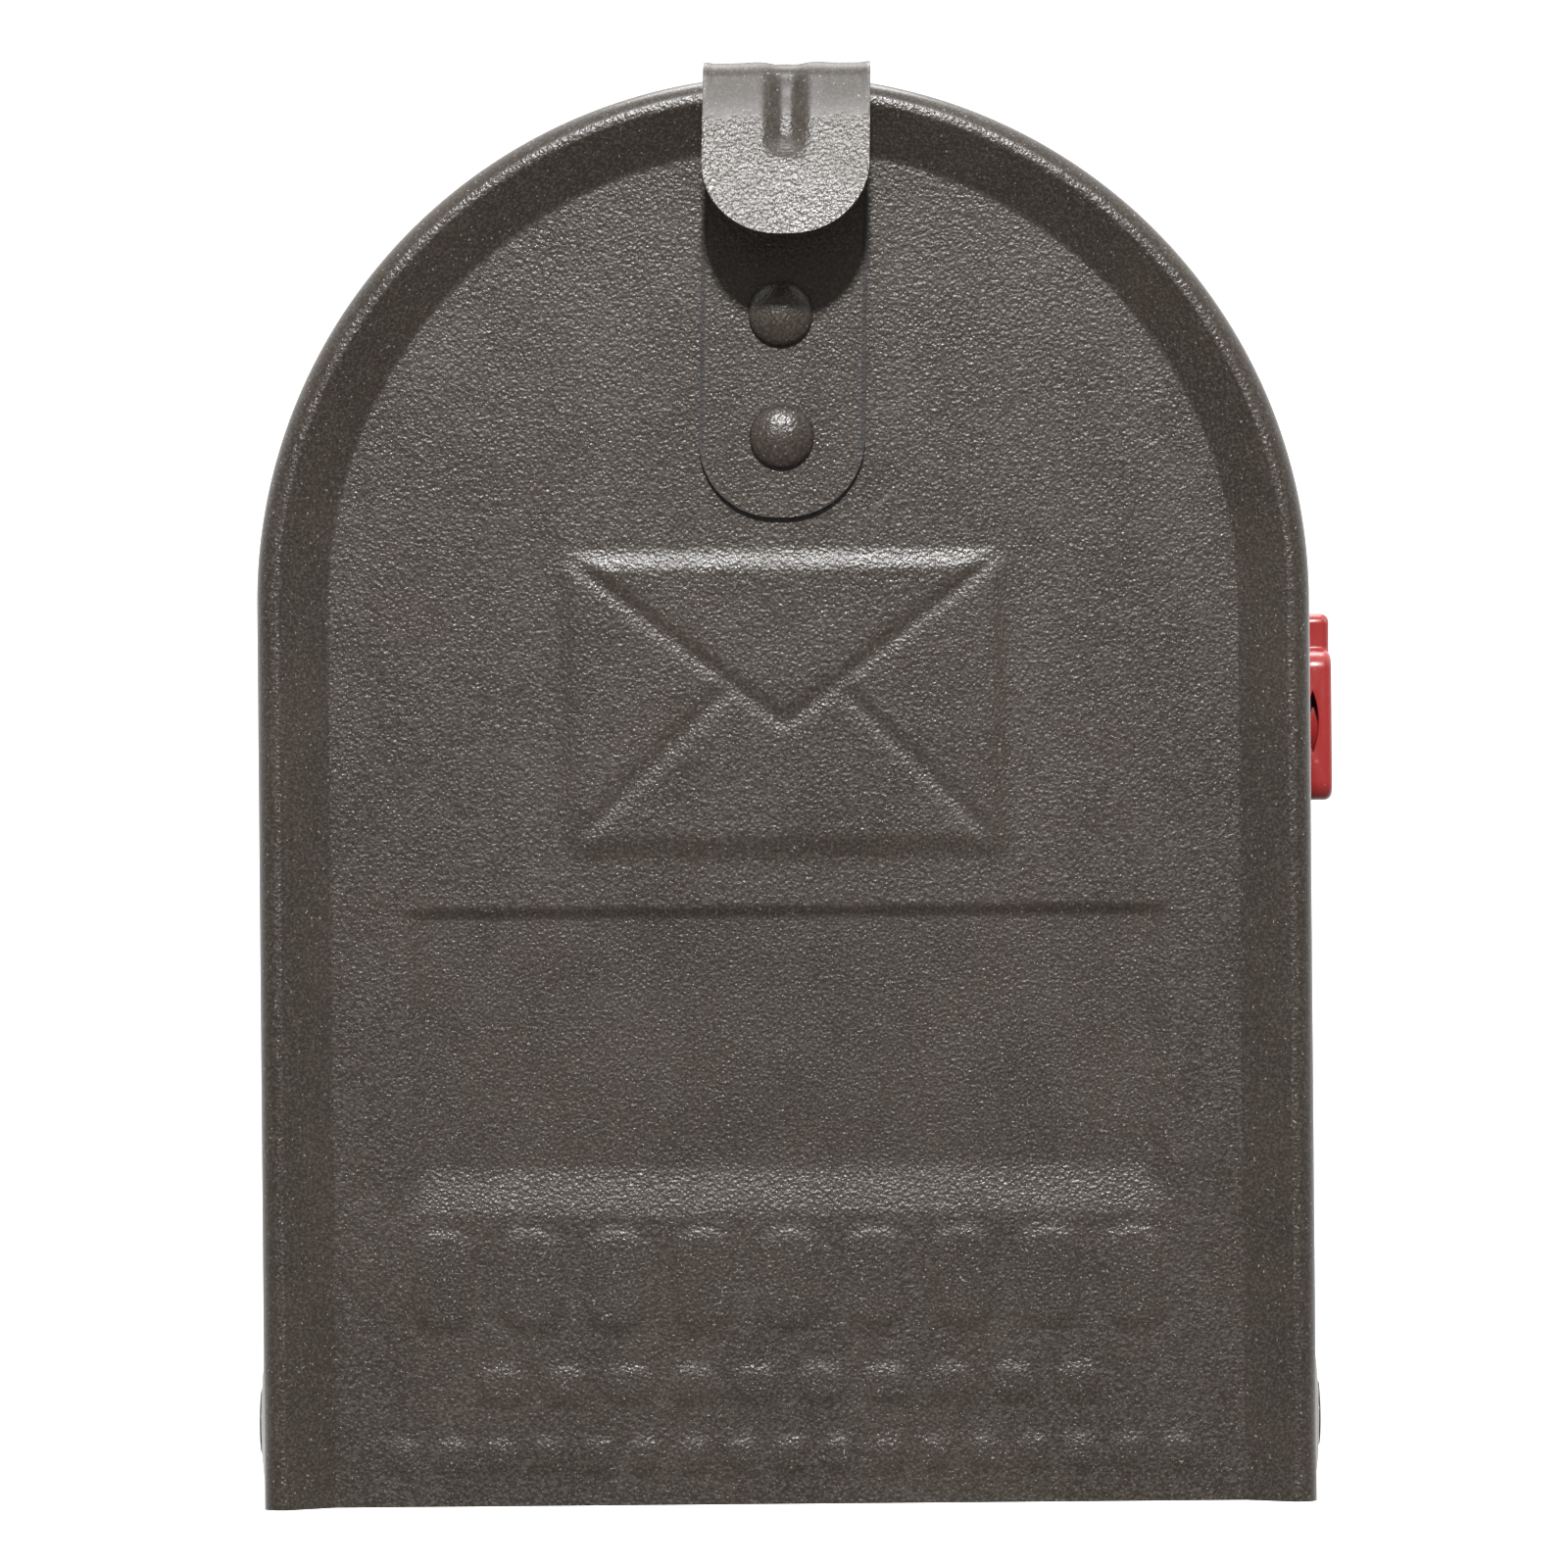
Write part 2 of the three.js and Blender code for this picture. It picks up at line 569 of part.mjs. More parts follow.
// Side outline: a low nose that steps up into the blade, with rounded corners.
function flagOutline(inset) {
  const front = FLAG_PIVOT.y - FLAG_NOSE_HEIGHT / 2 + inset;
  const rear = front + FLAG_LENGTH - inset * 2;
  const low = FLAG_PIVOT.z - FLAG_NOSE_HEIGHT / 2 + inset;
  const noseHigh = FLAG_PIVOT.z + FLAG_NOSE_HEIGHT / 2 - inset;
  const bladeHigh = low + FLAG_BLADE_HEIGHT - inset * 2;
  const radius = FLAG_CORNER - inset;
  const stepStart = front + FLAG_STEP_START;
  const stepEnd = stepStart + FLAG_STEP_LENGTH;
  const stepMid = (stepStart + stepEnd) / 2;
  const shape = new THREE.Shape();
  shape.moveTo(front + radius, low);
  shape.lineTo(rear - radius, low);
  shape.absarc(rear - radius, low + radius, radius, -Math.PI / 2, 0, false);
  shape.lineTo(rear, bladeHigh - radius);
  shape.absarc(rear - radius, bladeHigh - radius, radius, 0, Math.PI / 2, false);
  shape.lineTo(stepEnd, bladeHigh);
  shape.bezierCurveTo(stepMid, bladeHigh, stepMid, noseHigh, stepStart, noseHigh);
  shape.lineTo(front + radius, noseHigh);
  shape.absarc(front + radius, noseHigh - radius, radius, Math.PI / 2, Math.PI, false);
  shape.lineTo(front, low + radius);
  shape.absarc(front + radius, low + radius, radius, Math.PI, Math.PI * 1.5, false);
  return shape;
}

function signalFlag() {
  const edge = 1.2;
  const { y, z } = FLAG_PIVOT;
  const faceLevel = FLAG_OUTER - FLAG_WALL;
  const slab = alongX(flagOutline(edge), FLAG_INNER, FLAG_OUTER - edge, bevel(edge, edge, 2));
  const squareBack = block(0, FLAG_INNER, -250, 100, 0, 200);
  const pocket = alongX(flagOutline(FLAG_WALL), FLAG_INNER - 5, faceLevel);
  const hub = discX(y, z, FLAG_INNER, faceLevel, 8);
  const counterboreFloor = FLAG_OUTER - 2.2;
  const hubFloor = discX(y, z, counterboreFloor - FLAG_WALL, faceLevel, 8);
  const endWindow = block(FLAG_INNER - 1, FLAG_OUTER - FLAG_WALL, y - 14, y - 9, z - 4.5, z + 4.5);
  const ribs = [35, 75, 110].map((offset) => {
    const ribY = y + offset;
    return block(FLAG_INNER + 1, faceLevel + 0.5, ribY - 0.8, ribY + 0.8, z - 11, z + 11);
  });
  const shell = cut(slab, squareBack, pocket);
  return cut(
    join(shell, hub, hubFloor, ...ribs),
    endWindow,
    discX(y, z, counterboreFloor, FLAG_OUTER + 1, 6.4),
    discX(y, z, FLAG_INNER - 1, FLAG_OUTER + 1, HOLE_RADIUS),
  );
}

// ---------------------------------------------------------------------------
// Rivets and washers, turned about their own +Y axis
// ---------------------------------------------------------------------------

// The head's underside is at y = 0 and the shank runs down to the formed tail.
function rivetGeometry({ head, rise, shank, grip, tail, tailRise }) {
  const domeSteps = 3;
  const points = [
    new THREE.Vector2(0, -grip - tailRise),
    new THREE.Vector2(tail * 0.8, -grip - tailRise),
    new THREE.Vector2(tail, -grip),
    new THREE.Vector2(shank, -grip),
    new THREE.Vector2(shank, 0),
    new THREE.Vector2(head, 0),
  ];
  for (let i = 1; i < domeSteps; i += 1) {
    const angle = (i / domeSteps) * (Math.PI / 2);
    points.push(new THREE.Vector2(head * Math.cos(angle), rise * Math.sin(angle)));
  }
  points.push(new THREE.Vector2(0, rise));
  return new THREE.LatheGeometry(points, ROUND_SEGMENTS);
}

function washerGeometry(outerRadius, innerRadius, thickness) {
  const points = [
    new THREE.Vector2(innerRadius, 0),
    new THREE.Vector2(outerRadius, 0),
    new THREE.Vector2(outerRadius, thickness),
    new THREE.Vector2(innerRadius, thickness),
    new THREE.Vector2(innerRadius, 0),
  ];
  return new THREE.LatheGeometry(points, ROUND_SEGMENTS);
}

// ---------------------------------------------------------------------------
// Assembly
// ---------------------------------------------------------------------------

const mailbox = new THREE.Group();

function addPiece(name, geometry, material, position = [0, 0, 0], rotation = [0, 0, 0]) {
  const mesh = new THREE.Mesh(geometry, material);
  mesh.name = name;
  mesh.position.set(...position);
  mesh.rotation.set(...rotation);
  mailbox.add(mesh);
}

const TOWARDS_PLUS_X = [0, 0, -Math.PI / 2];
const TOWARDS_MINUS_X = [0, 0, Math.PI / 2];
const TOWARDS_MINUS_Y = [Math.PI, 0, 0];
const TOWARDS_PLUS_Z = [Math.PI / 2, 0, 0];

const SIDES = [
  { name: 'left', sign: -1, turn: TOWARDS_MINUS_X },
  { name: 'right', sign: 1, turn: TOWARDS_PLUS_X },
];

function addPanels() {
  addPiece('body_shell', toGeometry(bodyShell()), bronzeCoat);
  addPiece('floor_panel', toGeometry(floorPanel()), bronzeCoat);
  addPiece('rear_panel', toGeometry(rearPanel()), bronzeCoat);
  addPiece('door_panel', toGeometry(doorPanel()), bronzeCoat);
}

function addHinges() {
  const headX = EAR_FACE + GAP;
  const rivet = {
    head: 5,
    rise: 0.5,
    shank: SHANK_RADIUS,
    grip: headX - BODY_INNER + GAP,
    tail: 4,
    tailRise: 1.2,
  };
  for (const { name, sign, turn } of SIDES) {
    const washerX = BODY_HALF + GAP / 2;
    addPiece(`hinge_rivet_${name}`, rivetGeometry(rivet), zincSteel, [sign * headX, HINGE.y, HINGE.z], turn);
    addPiece(
      `hinge_washer_${name}`,
      washerGeometry(8, HOLE_RADIUS, WASHER_THICKNESS),
      nylon,
      [sign * washerX, HINGE.y, HINGE.z],
      turn,
    );
  }
}

function addFloorRivets() {
  const rivet = {
    head: 4.2,
    rise: 1.4,
    shank: SHANK_RADIUS,
    grip: BODY_HALF - INSERT_HALF + SHEET + GAP * 2,
    tail: 3.8,
    tailRise: 1.2,
  };
  const stations = ['front', 'middle', 'rear'];
  for (const { name, sign, turn } of SIDES) {
    stations.forEach((station, i) => {
      const place = [sign * (BODY_HALF + GAP), FLOOR_RIVETS_Y[i], SCREW_HOLE_Z];
      addPiece(`floor_rivet_${name}_${station}`, rivetGeometry(rivet), bronzeCoat, place, turn);
    });
  }
}

function addRearRivets() {
  const rivet = {
    head: 3,
    rise: 1.1,
    shank: SMALL_SHANK,
    grip: BODY_HALF - INSERT_HALF + SHEET + GAP * 2,
    tail: 2.6,
    tailRise: 1,
  };
  for (const { name, angle, z } of rearRivetPlaces()) {
    const radius = BODY_HALF + GAP;
    const place = [radius * Math.cos(angle), REAR_RIVET_Y, z + radius * Math.sin(angle)];
    addPiece(`rear_rivet_${name}`, rivetGeometry(rivet), bronzeCoat, place, [0, 0, 0]);
    const mesh = mailbox.getObjectByName(`rear_rivet_${name}`);
    const outward = new THREE.Vector3(Math.cos(angle), 0, Math.sin(angle));
    mesh.quaternion.setFromUnitVectors(new THREE.Vector3(0, 1, 0), outward);
  }
}

function addLatch() {
  addPiece('latch_strap', toGeometry(latchStrap()), bronzeCoat);
  addPiece('body_catch', toGeometry(bodyCatch()), bronzeCoat);
  const strapFace = STRAP_BACK - STRAP_THICKNESS;
  const strapRivet = {
    head: 4.95,
    rise: 2.3,
    shank: SHANK_RADIUS,
    grip: STRAP_THICKNESS + SHEET + GAP * 3,
    tail: 4,
    tailRise: 1.3,
  };
  ['upper', 'lower'].forEach((level, i) => {
    const place = [0, strapFace - GAP, STRAP_RIVETS_Z[i]];
    addPiece(`strap_rivet_${level}`, rivetGeometry(strapRivet), bronzeCoat, place, TOWARDS_MINUS_Y);
  });
  const catchRivet = {
    head: 3.2,
    rise: 1.2,
    shank: SHANK_RADIUS,
    grip: CATCH_THICKNESS + SHEET + GAP * 5,
    tail: 3.4,
    tailRise: 1,
  };
  for (const { name, sign } of SIDES) {
    const place = [sign * CATCH_RIVET_X, CATCH_PIVOT_Y, CROWN_Z + CATCH_THICKNESS + GAP * 2];
    addPiece(`catch_rivet_${name}`, rivetGeometry(catchRivet), zincSteel, place, TOWARDS_PLUS_Z);
  }
}

function addFlag() {
  const { y, z } = FLAG_PIVOT;
  const headX = FLAG_OUTER - 2.2 + GAP;
  const springX = BODY_INNER - GAP;
  const backingX = springX - WASHER_THICKNESS - GAP;
  const tailX = backingX - WASHER_THICKNESS - GAP;
  const rivet = {
    head: 5.8,
    rise: 1.6,
    shank: SHANK_RADIUS,
    grip: headX - tailX,
    tail: 4.2,
    tailRise: 1.4,
  };
  const disc = washerGeometry(8, HOLE_RADIUS, WASHER_THICKNESS);
  addPiece('flag', toGeometry(signalFlag()), flagRed);
  addPiece('flag_pivot_rivet', rivetGeometry(rivet), zincSteel, [headX, y, z], TOWARDS_PLUS_X);
  addPiece('flag_washer', washerGeometry(9, HOLE_RADIUS, 1.4), nylon, [BODY_HALF + GAP, y, z], TOWARDS_PLUS_X);
  addPiece('flag_spring_washer', disc, zincSteel, [springX, y, z], TOWARDS_MINUS_X);
  addPiece('flag_backing_washer', disc.clone(), zincSteel, [backingX, y, z], TOWARDS_MINUS_X);
}

addPanels();
addHinges();
addFloorRivets();
addRearRivets();
addLatch();
addFlag();

export default mailbox;
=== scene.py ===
import json
import math

import bmesh
import bpy
import numpy as np
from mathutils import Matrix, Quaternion, Vector


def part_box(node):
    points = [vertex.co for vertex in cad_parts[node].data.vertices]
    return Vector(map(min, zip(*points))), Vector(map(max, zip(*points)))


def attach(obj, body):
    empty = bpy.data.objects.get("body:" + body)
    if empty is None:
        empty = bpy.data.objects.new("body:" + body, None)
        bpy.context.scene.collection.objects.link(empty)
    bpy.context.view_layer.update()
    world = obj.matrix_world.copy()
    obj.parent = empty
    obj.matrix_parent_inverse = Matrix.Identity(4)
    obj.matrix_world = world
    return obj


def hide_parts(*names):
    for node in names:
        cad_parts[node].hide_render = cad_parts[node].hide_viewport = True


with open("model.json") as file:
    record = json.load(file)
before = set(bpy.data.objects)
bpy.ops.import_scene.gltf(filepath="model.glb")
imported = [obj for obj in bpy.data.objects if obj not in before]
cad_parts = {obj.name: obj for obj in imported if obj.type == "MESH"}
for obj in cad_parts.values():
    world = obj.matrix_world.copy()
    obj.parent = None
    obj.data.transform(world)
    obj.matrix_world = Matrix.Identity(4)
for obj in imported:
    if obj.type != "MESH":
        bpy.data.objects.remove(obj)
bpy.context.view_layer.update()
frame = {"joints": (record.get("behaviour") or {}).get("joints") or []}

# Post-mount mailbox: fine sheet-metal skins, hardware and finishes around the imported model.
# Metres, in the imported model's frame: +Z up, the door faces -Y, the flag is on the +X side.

JOINTS = {joint["name"]: joint for joint in frame["joints"]}
MM = 0.001

# ---- Sizes taken from the frame

BODY_LO, BODY_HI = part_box("body_shell")
DOOR_LO, DOOR_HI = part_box("door_panel")
STRAP_LO, STRAP_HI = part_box("latch_strap")
FLOOR_LO, FLOOR_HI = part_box("floor_panel")
REAR_LO, REAR_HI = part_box("rear_panel")
FLAG_LO, FLAG_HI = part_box("flag")
CATCH_LO, CATCH_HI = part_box("body_catch")
HINGE = Vector(JOINTS["door_hinge"]["pos_m"])
FLAG_PIVOT = Vector(JOINTS["flag_pivot"]["pos_m"])

SHEET = 0.9 * MM
GAP = 0.3 * MM
BOTTOM = BODY_LO.z
BEAD_HALF = BODY_HI.x
BEAD_RISE = 2 * MM
BODY_HALF = BEAD_HALF - BEAD_RISE
ARCH_Z = BODY_HI.z - BEAD_HALF
CROWN_Z = ARCH_Z + BODY_HALF
BODY_FRONT = BODY_LO.y
BODY_REAR = BODY_HI.y
DOOR_FRONT = DOOR_LO.y
DOOR_HALF = DOOR_HI.z - ARCH_Z
EAR_RISE = DOOR_HI.x - DOOR_HALF
EAR_RADIUS = 12 * MM
SKIRT_REAR = BODY_FRONT + 12 * MM
HINGE_SETBACK = HINGE.y - BODY_FRONT
RIM_INNER = 76.9 * MM
PANEL_HALF = 69.6 * MM
PANEL_Y = DOOR_FRONT + 4.5 * MM
PANEL_EDGE = PANEL_HALF - 1.5 * MM
INSIDE = (0, 0, 80 * MM)
SCREW_Y = (-135 * MM, 70 * MM, 180 * MM)
SCREW_Z = -11 * MM
SCREW_RADIUS = 2.5 * MM


# ---- Mesh helpers

def smooth(t):
    """Smooth step from 0 to 1 over t in 0..1, on arrays or numbers."""
    t = np.clip(t, 0.0, 1.0)
    return t * t * (3 - 2 * t)


def new_object(name, verts, faces):
    mesh = bpy.data.meshes.new(name)
    mesh.from_pydata([tuple(v) for v in verts], [], faces)
    obj = bpy.data.objects.new(name, mesh)
    bpy.context.scene.collection.objects.link(obj)
    return obj


def grid_object(name, points, weld=False):
    """A sheet from an array of points of shape (rows, columns, 3)."""
    rows, cols = points.shape[:2]
    index = np.arange(rows * cols).reshape(rows, cols)
    quads = np.stack([index[:-1, :-1], index[:-1, 1:], index[1:, 1:], index[1:, :-1]], -1)
    obj = new_object(name, points.reshape(-1, 3), quads.reshape(-1, 4).tolist())
    if weld:
        edit = bmesh.new()
        edit.from_mesh(obj.data)
        bmesh.ops.remove_doubles(edit, verts=edit.verts, dist=1e-6)
        edit.to_mesh(obj.data)
        edit.free()
    return obj


def loops_object(name, loops, closed=False):
    """A solid skin through closed loops of equal length, capped at both ends unless closed."""
    loops = [np.asarray(loop, float) for loop in loops]
    count = len(loops[0])
    rings = len(loops)
    faces = []
    for i in range(rings if closed else rings - 1):
        a, b = i * count, ((i + 1) % rings) * count
        faces += [(a + k, a + (k + 1) % count, b + (k + 1) % count, b + k) for k in range(count)]
    if not closed:
        faces.append(tuple(reversed(range(count))))
        faces.append(tuple(range((rings - 1) * count, rings * count)))
    obj = new_object(name, np.concatenate(loops), faces)
    face_out(obj)
    return obj


def face_out(obj):
    edit = bmesh.new()
    edit.from_mesh(obj.data)
    bmesh.ops.recalc_face_normals(edit, faces=edit.faces)
    edit.to_mesh(obj.data)
    edit.free()


def delete_faces(obj, unwanted):
    """Removes the faces for whose middle unwanted(middle) is true."""
    edit = bmesh.new()
    edit.from_mesh(obj.data)
    found = [face for face in edit.faces if unwanted(face.calc_center_median())]
    bmesh.ops.delete(edit, geom=found, context="FACES")
    edit.to_mesh(obj.data)
    edit.free()


def apply_modifiers(obj):
    depsgraph = bpy.context.evaluated_depsgraph_get()
    mesh = bpy.data.meshes.new_from_object(obj.evaluated_get(depsgraph))
    obj.modifiers.clear()
    obj.data = mesh
    mesh.name = obj.name


def thicken(obj, thickness, offset=-1):
    """Gives a sheet its thickness, behind its front side (offset -1) or to both sides of it (0)."""
    solid = obj.modifiers.new("thickness", "SOLIDIFY")
    solid.thickness = thickness
    solid.offset = offset
    apply_modifiers(obj)


def ease_edges(obj, width, segments, angle):
    """Bevels edges that turn by more than an angle in degrees."""
    ease = obj.modifiers.new("edge", "BEVEL")
    ease.width = width
    ease.segments = segments
    ease.limit_method = "ANGLE"
    ease.angle_limit = math.radians(angle)
    apply_modifiers(obj)


def shade(obj, angle):
    """Shades smooth, but for edges that turn by more than an angle in degrees."""
    mesh = obj.data
    mesh.polygons.foreach_set("use_smooth", [True] * len(mesh.polygons))
    mesh.set_sharp_from_angle(angle=math.radians(angle))
    return obj


def mark(obj, name, values):
    """Stores a value from 0 to 1 for each vertex, which the coat's material reads by its name."""
    stored = obj.data.attributes.new(name, "FLOAT", "POINT")
    stored.data.foreach_set("value", np.asarray(values, np.float32))


def carve(obj, tools, operation="DIFFERENCE"):
    """Boolean cut or join with other solids, which are then removed."""
    for tool in tools:
        step = obj.modifiers.new("carve", "BOOLEAN")
        step.operation = operation
        step.solver = "EXACT"
        step.object = tool
        apply_modifiers(obj)
        bpy.data.objects.remove(tool, do_unlink=True)
    return obj


def fillet_path(points, radii, steps=6):
    """A 2-D line of points with each inner corner rounded to an arc of its radius."""
    points = [np.array(point, float) for point in points]
    path = [points[0]]
    for before, corner, after, radius in zip(points, points[1:], points[2:], radii):
        into, out = corner - before, after - corner
        into, out = into / np.linalg.norm(into), out / np.linalg.norm(out)
        turn = math.atan2(into[0] * out[1] - into[1] * out[0], into @ out)
        start = corner - into * radius * math.tan(abs(turn) / 2)
        centre = start + np.array([-into[1], into[0]]) * math.copysign(radius, turn)
        arm = start - centre
        for k in range(steps + 1):
            c, s = math.cos(turn * k / steps), math.sin(turn * k / steps)
            path.append(centre + np.array([c * arm[0] - s * arm[1], s * arm[0] + c * arm[1]]))
    path.append(points[-1])
    return np.array(path)


def resample(path, spacing):
    """The same line cut into steps no longer than spacing, keeping every point of it."""
    out = [path[0]]
    for a, b in zip(path[:-1], path[1:]):
        steps = max(1, math.ceil(np.linalg.norm(b - a) / spacing))
        out += [a + (b - a) * k / steps for k in range(1, steps + 1)]
    return np.array(out)


def steps_between(*stops):
    """Values from the first stop on. Each further stop is (value, spacing), reached in even steps."""
    values = [stops[0]]
    for end, spacing in stops[1:]:
        count = max(1, round(abs(end - values[-1]) / spacing))
        values += list(np.linspace(values[-1], end, count + 1)[1:])
    return np.array(values)


def face_away(obj, centre):
    """Turns a sheet's faces so that they look away from a point."""
    mesh, centre = obj.data, Vector(centre)
    away = sum((face.center - centre).dot(face.normal) * face.area for face in mesh.polygons)
    if away < 0:
        mesh.flip_normals()


def rounded_box_distance(x, z, half_x, half_z, radius):
    """Signed distance to a rounded rectangle's outline, negative inside it."""
    dx = np.abs(x) - half_x + radius
    dz = np.abs(z) - half_z + radius
    outside = np.hypot(np.maximum(dx, 0), np.maximum(dz, 0))
    return outside + np.minimum(np.maximum(dx, dz), 0) - radius


def segment_distance(x, z, a, b):
    """Distance from points to a line segment."""
    ax, az = a
    dx, dz = b[0] - ax, b[1] - az
    t = np.clip(((x - ax) * dx + (z - az) * dz) / (dx * dx + dz * dz), 0, 1)
    return np.hypot(x - ax - t * dx, z - az - t * dz)


# ---- The arch: stations run from the left side's bottom over the crown to the right side's bottom

def arch_stations(side_z, arc_steps):
    """(angle, z) pairs. On the sides the angle is 180 or 0 degrees, and on the arc z is its centre."""
    left = [(math.pi, z) for z in side_z]
    arc = [(math.pi * (1 - k / arc_steps), ARCH_Z) for k in range(1, arc_steps)]
    right = [(0.0, z) for z in reversed(side_z)]
    return np.array(left + arc + right)


def arch_points(stations, half, y):
    """Points at a half width from the centre plane. half and y broadcast with the stations."""
    angle, z = stations[:, 0], stations[:, 1]
    half, y, angle, z = np.broadcast_arrays(half, y, angle, z)
    return np.stack([half * np.cos(angle), y, z + half * np.sin(angle)], -1)


# ---- Door: one pressed sheet

FIELD_HALF = 58.5 * MM
FIELD_LOW = 22.1 * MM
FIELD_HIGH = 69.6 * MM
FIELD_DEPTH = 0.7 * MM
ENVELOPE_HALF = 35 * MM
ENVELOPE_LOW = 76.5 * MM
ENVELOPE_HIGH = 124.5 * MM
ENVELOPE_RISE = 0.44 * MM
FLAP_DROP = 3 * MM
PAD_RISE = 0.22 * MM
SLOT_HALF = 8 * MM


def field_depth(x, z):
    """Number field: a short step down at its top and a long ramp up at its bottom."""
    top = smooth((FIELD_HIGH - z) / (1.8 * MM))
    ramp = np.clip((z - FIELD_LOW) / (7.8 * MM), 0, 1)
    half = FIELD_HALF + MM + (FIELD_LOW + 8 * MM - z).clip(0) * 0.25
    ends = smooth((half - np.abs(x)) / (6 * MM))
    return FIELD_DEPTH * top * (0.7 * ramp + 0.3 * smooth(ramp)) * ends


def envelope_rise(x, z):
    """Plain envelope: a raised panel with pressed fold lines."""
    mid = (ENVELOPE_LOW + ENVELOPE_HIGH) / 2
    half_z = (ENVELOPE_HIGH - ENVELOPE_LOW) / 2
    inside = -rounded_box_distance(x, z - mid, ENVELOPE_HALF, half_z, 3 * MM)
    side = np.abs(x)
    flap = segment_distance(side, z, (ENVELOPE_HALF, ENVELOPE_HIGH), (0, mid - FLAP_DROP))
    fold = segment_distance(side, z, (ENVELOPE_HALF, ENVELOPE_LOW), (9.5 * MM, mid + 1.5 * MM))
    line = np.exp(-(np.minimum(flap, fold) / (1.15 * MM)) ** 2)
    above = z - mid + FLAP_DROP - side * (half_z + FLAP_DROP) / ENVELOPE_HALF
    above_flap = smooth(above / (1.2 * MM))
    return ENVELOPE_RISE * smooth(inside / (3.9 * MM)) * (1 - 0.5 * line + 0.22 * above_flap)


def pad_row(x, z, count, pitch, size, mid_z):
    """A row of plain raised pads with round corners."""
    off_centre = (count - 1) / 2 % 1
    nearest = np.clip(np.round(x / pitch - off_centre), -(count // 2), (count - 1) // 2)
    local = x - (nearest + off_centre) * pitch
    inside = -rounded_box_distance(local, z - mid_z, size[0] / 2, size[1] / 2, min(size) * 0.42)
    return PAD_RISE * smooth((inside + 0.3 * MM) / (1.9 * MM))


def panel_relief(x, z):
    """How far the panel's surface lies behind its flat face."""
    large = pad_row(x, z, 9, 13.2 * MM, (9.6 * MM, 16 * MM), 12.5 * MM)
    dashes = pad_row(x, z, 10, 9.8 * MM, (7.4 * MM, 6.4 * MM), -3.6 * MM)
    dots = pad_row(x, z, 17, 7.4 * MM, (5.4 * MM, 6 * MM), -14.4 * MM)
    return field_depth(x, z) - envelope_rise(x, z) - large - dashes - dots


def skirt_rear_edge(z):
    """Rear edge of the door's skirt, which widens into a round ear at each hinge."""
    fillet = 4 * MM
    rise = z - HINGE.z
    ear = HINGE.y + np.sqrt(np.maximum(EAR_RADIUS ** 2 - rise ** 2, 0))
    blend_z = HINGE.z + math.sqrt((EAR_RADIUS + fillet) ** 2 - (SKIRT_REAR + fillet - HINGE.y) ** 2)
    tangent_z = HINGE.z + (blend_z - HINGE.z) * EAR_RADIUS / (EAR_RADIUS + fillet)
    neck = SKIRT_REAR + fillet - np.sqrt(np.maximum(fillet ** 2 - (z - blend_z) ** 2, 0))
    return np.select([rise < -EAR_RADIUS, z < tangent_z, z < blend_z],
                     [SKIRT_REAR, ear, neck], SKIRT_REAR)


def make_door():
    spacing = 0.75 * MM
    side_z = steps_between(BOTTOM, (FIELD_LOW + 9 * MM, spacing), (FIELD_HIGH - 3 * MM, MM),
                           (FIELD_HIGH + MM, 0.45 * MM), (ARCH_Z, spacing))
    stations = arch_stations(side_z, 250)
    panel = steps_between(0, (PANEL_EDGE, spacing))[:-1]
    edge_radius = 3 * MM
    turn = fillet_path(
        [(PANEL_EDGE, PANEL_Y), (PANEL_HALF, PANEL_Y), (RIM_INNER, DOOR_FRONT),
         (DOOR_HALF, DOOR_FRONT), (DOOR_HALF, DOOR_FRONT + 1.2 * edge_radius)],
        [1.6 * MM, 0.9 * MM, edge_radius], steps=8)
    turn = resample(turn, 0.9 * MM)
    rim = np.concatenate([np.stack([panel, np.full(len(panel), PANEL_Y)], 1), turn])
    rings = [arch_points(stations, half, y) for half, y in rim]
    hold = BODY_FRONT + 9 * MM
    rear = skirt_rear_edge(stations[:, 1])
    for y in steps_between(turn[-1][1], (hold, 1.1 * MM))[1:]:
        rings.append(arch_points(stations, DOOR_HALF, y))
    for t in np.linspace(0, 1, 15)[1:]:
        rings.append(arch_points(stations, DOOR_HALF, hold + (rear - hold) * t))
    points = np.array(rings)
    count = len(panel)
    points[:count, :, 1] += panel_relief(points[:count, :, 0], points[:count, :, 2])
    near = np.hypot(points[..., 1] - HINGE.y, points[..., 2] - HINGE.z)
    on_skirt = np.arange(len(rings))[:, None] >= len(rim)
    bulge = EAR_RISE * smooth((EAR_RADIUS - 0.3 * MM - near) / (3.2 * MM)) * on_skirt
    points[..., 0] += np.sign(points[..., 0]) * bulge
    door = grid_object("door_skin", points, weld=True)
    delete_faces(door, lambda at: (abs(at.x) < SLOT_HALF and at.z > CROWN_Z
                                   and BODY_FRONT + MM < at.y < hold))
    face_away(door, INSIDE)
    at = np.array([v.co for v in door.data.vertices])
    half = np.where(at[:, 2] > ARCH_Z, np.hypot(at[:, 0], at[:, 2] - ARCH_Z), np.abs(at[:, 0]))
    mark(door, "smooth_coat", smooth((half - RIM_INNER - 1.1 * MM) / (0.5 * MM)))
    thicken(door, SHEET)
    return shade(door, 50)


# ---- Body shell

def bead_profile(y, centre, half_width):
    """Height of a rolled bead across its width, from 0 to 1."""
    return 0.5 + 0.5 * np.cos(np.clip((y - centre) / half_width, -1, 1) * math.pi)


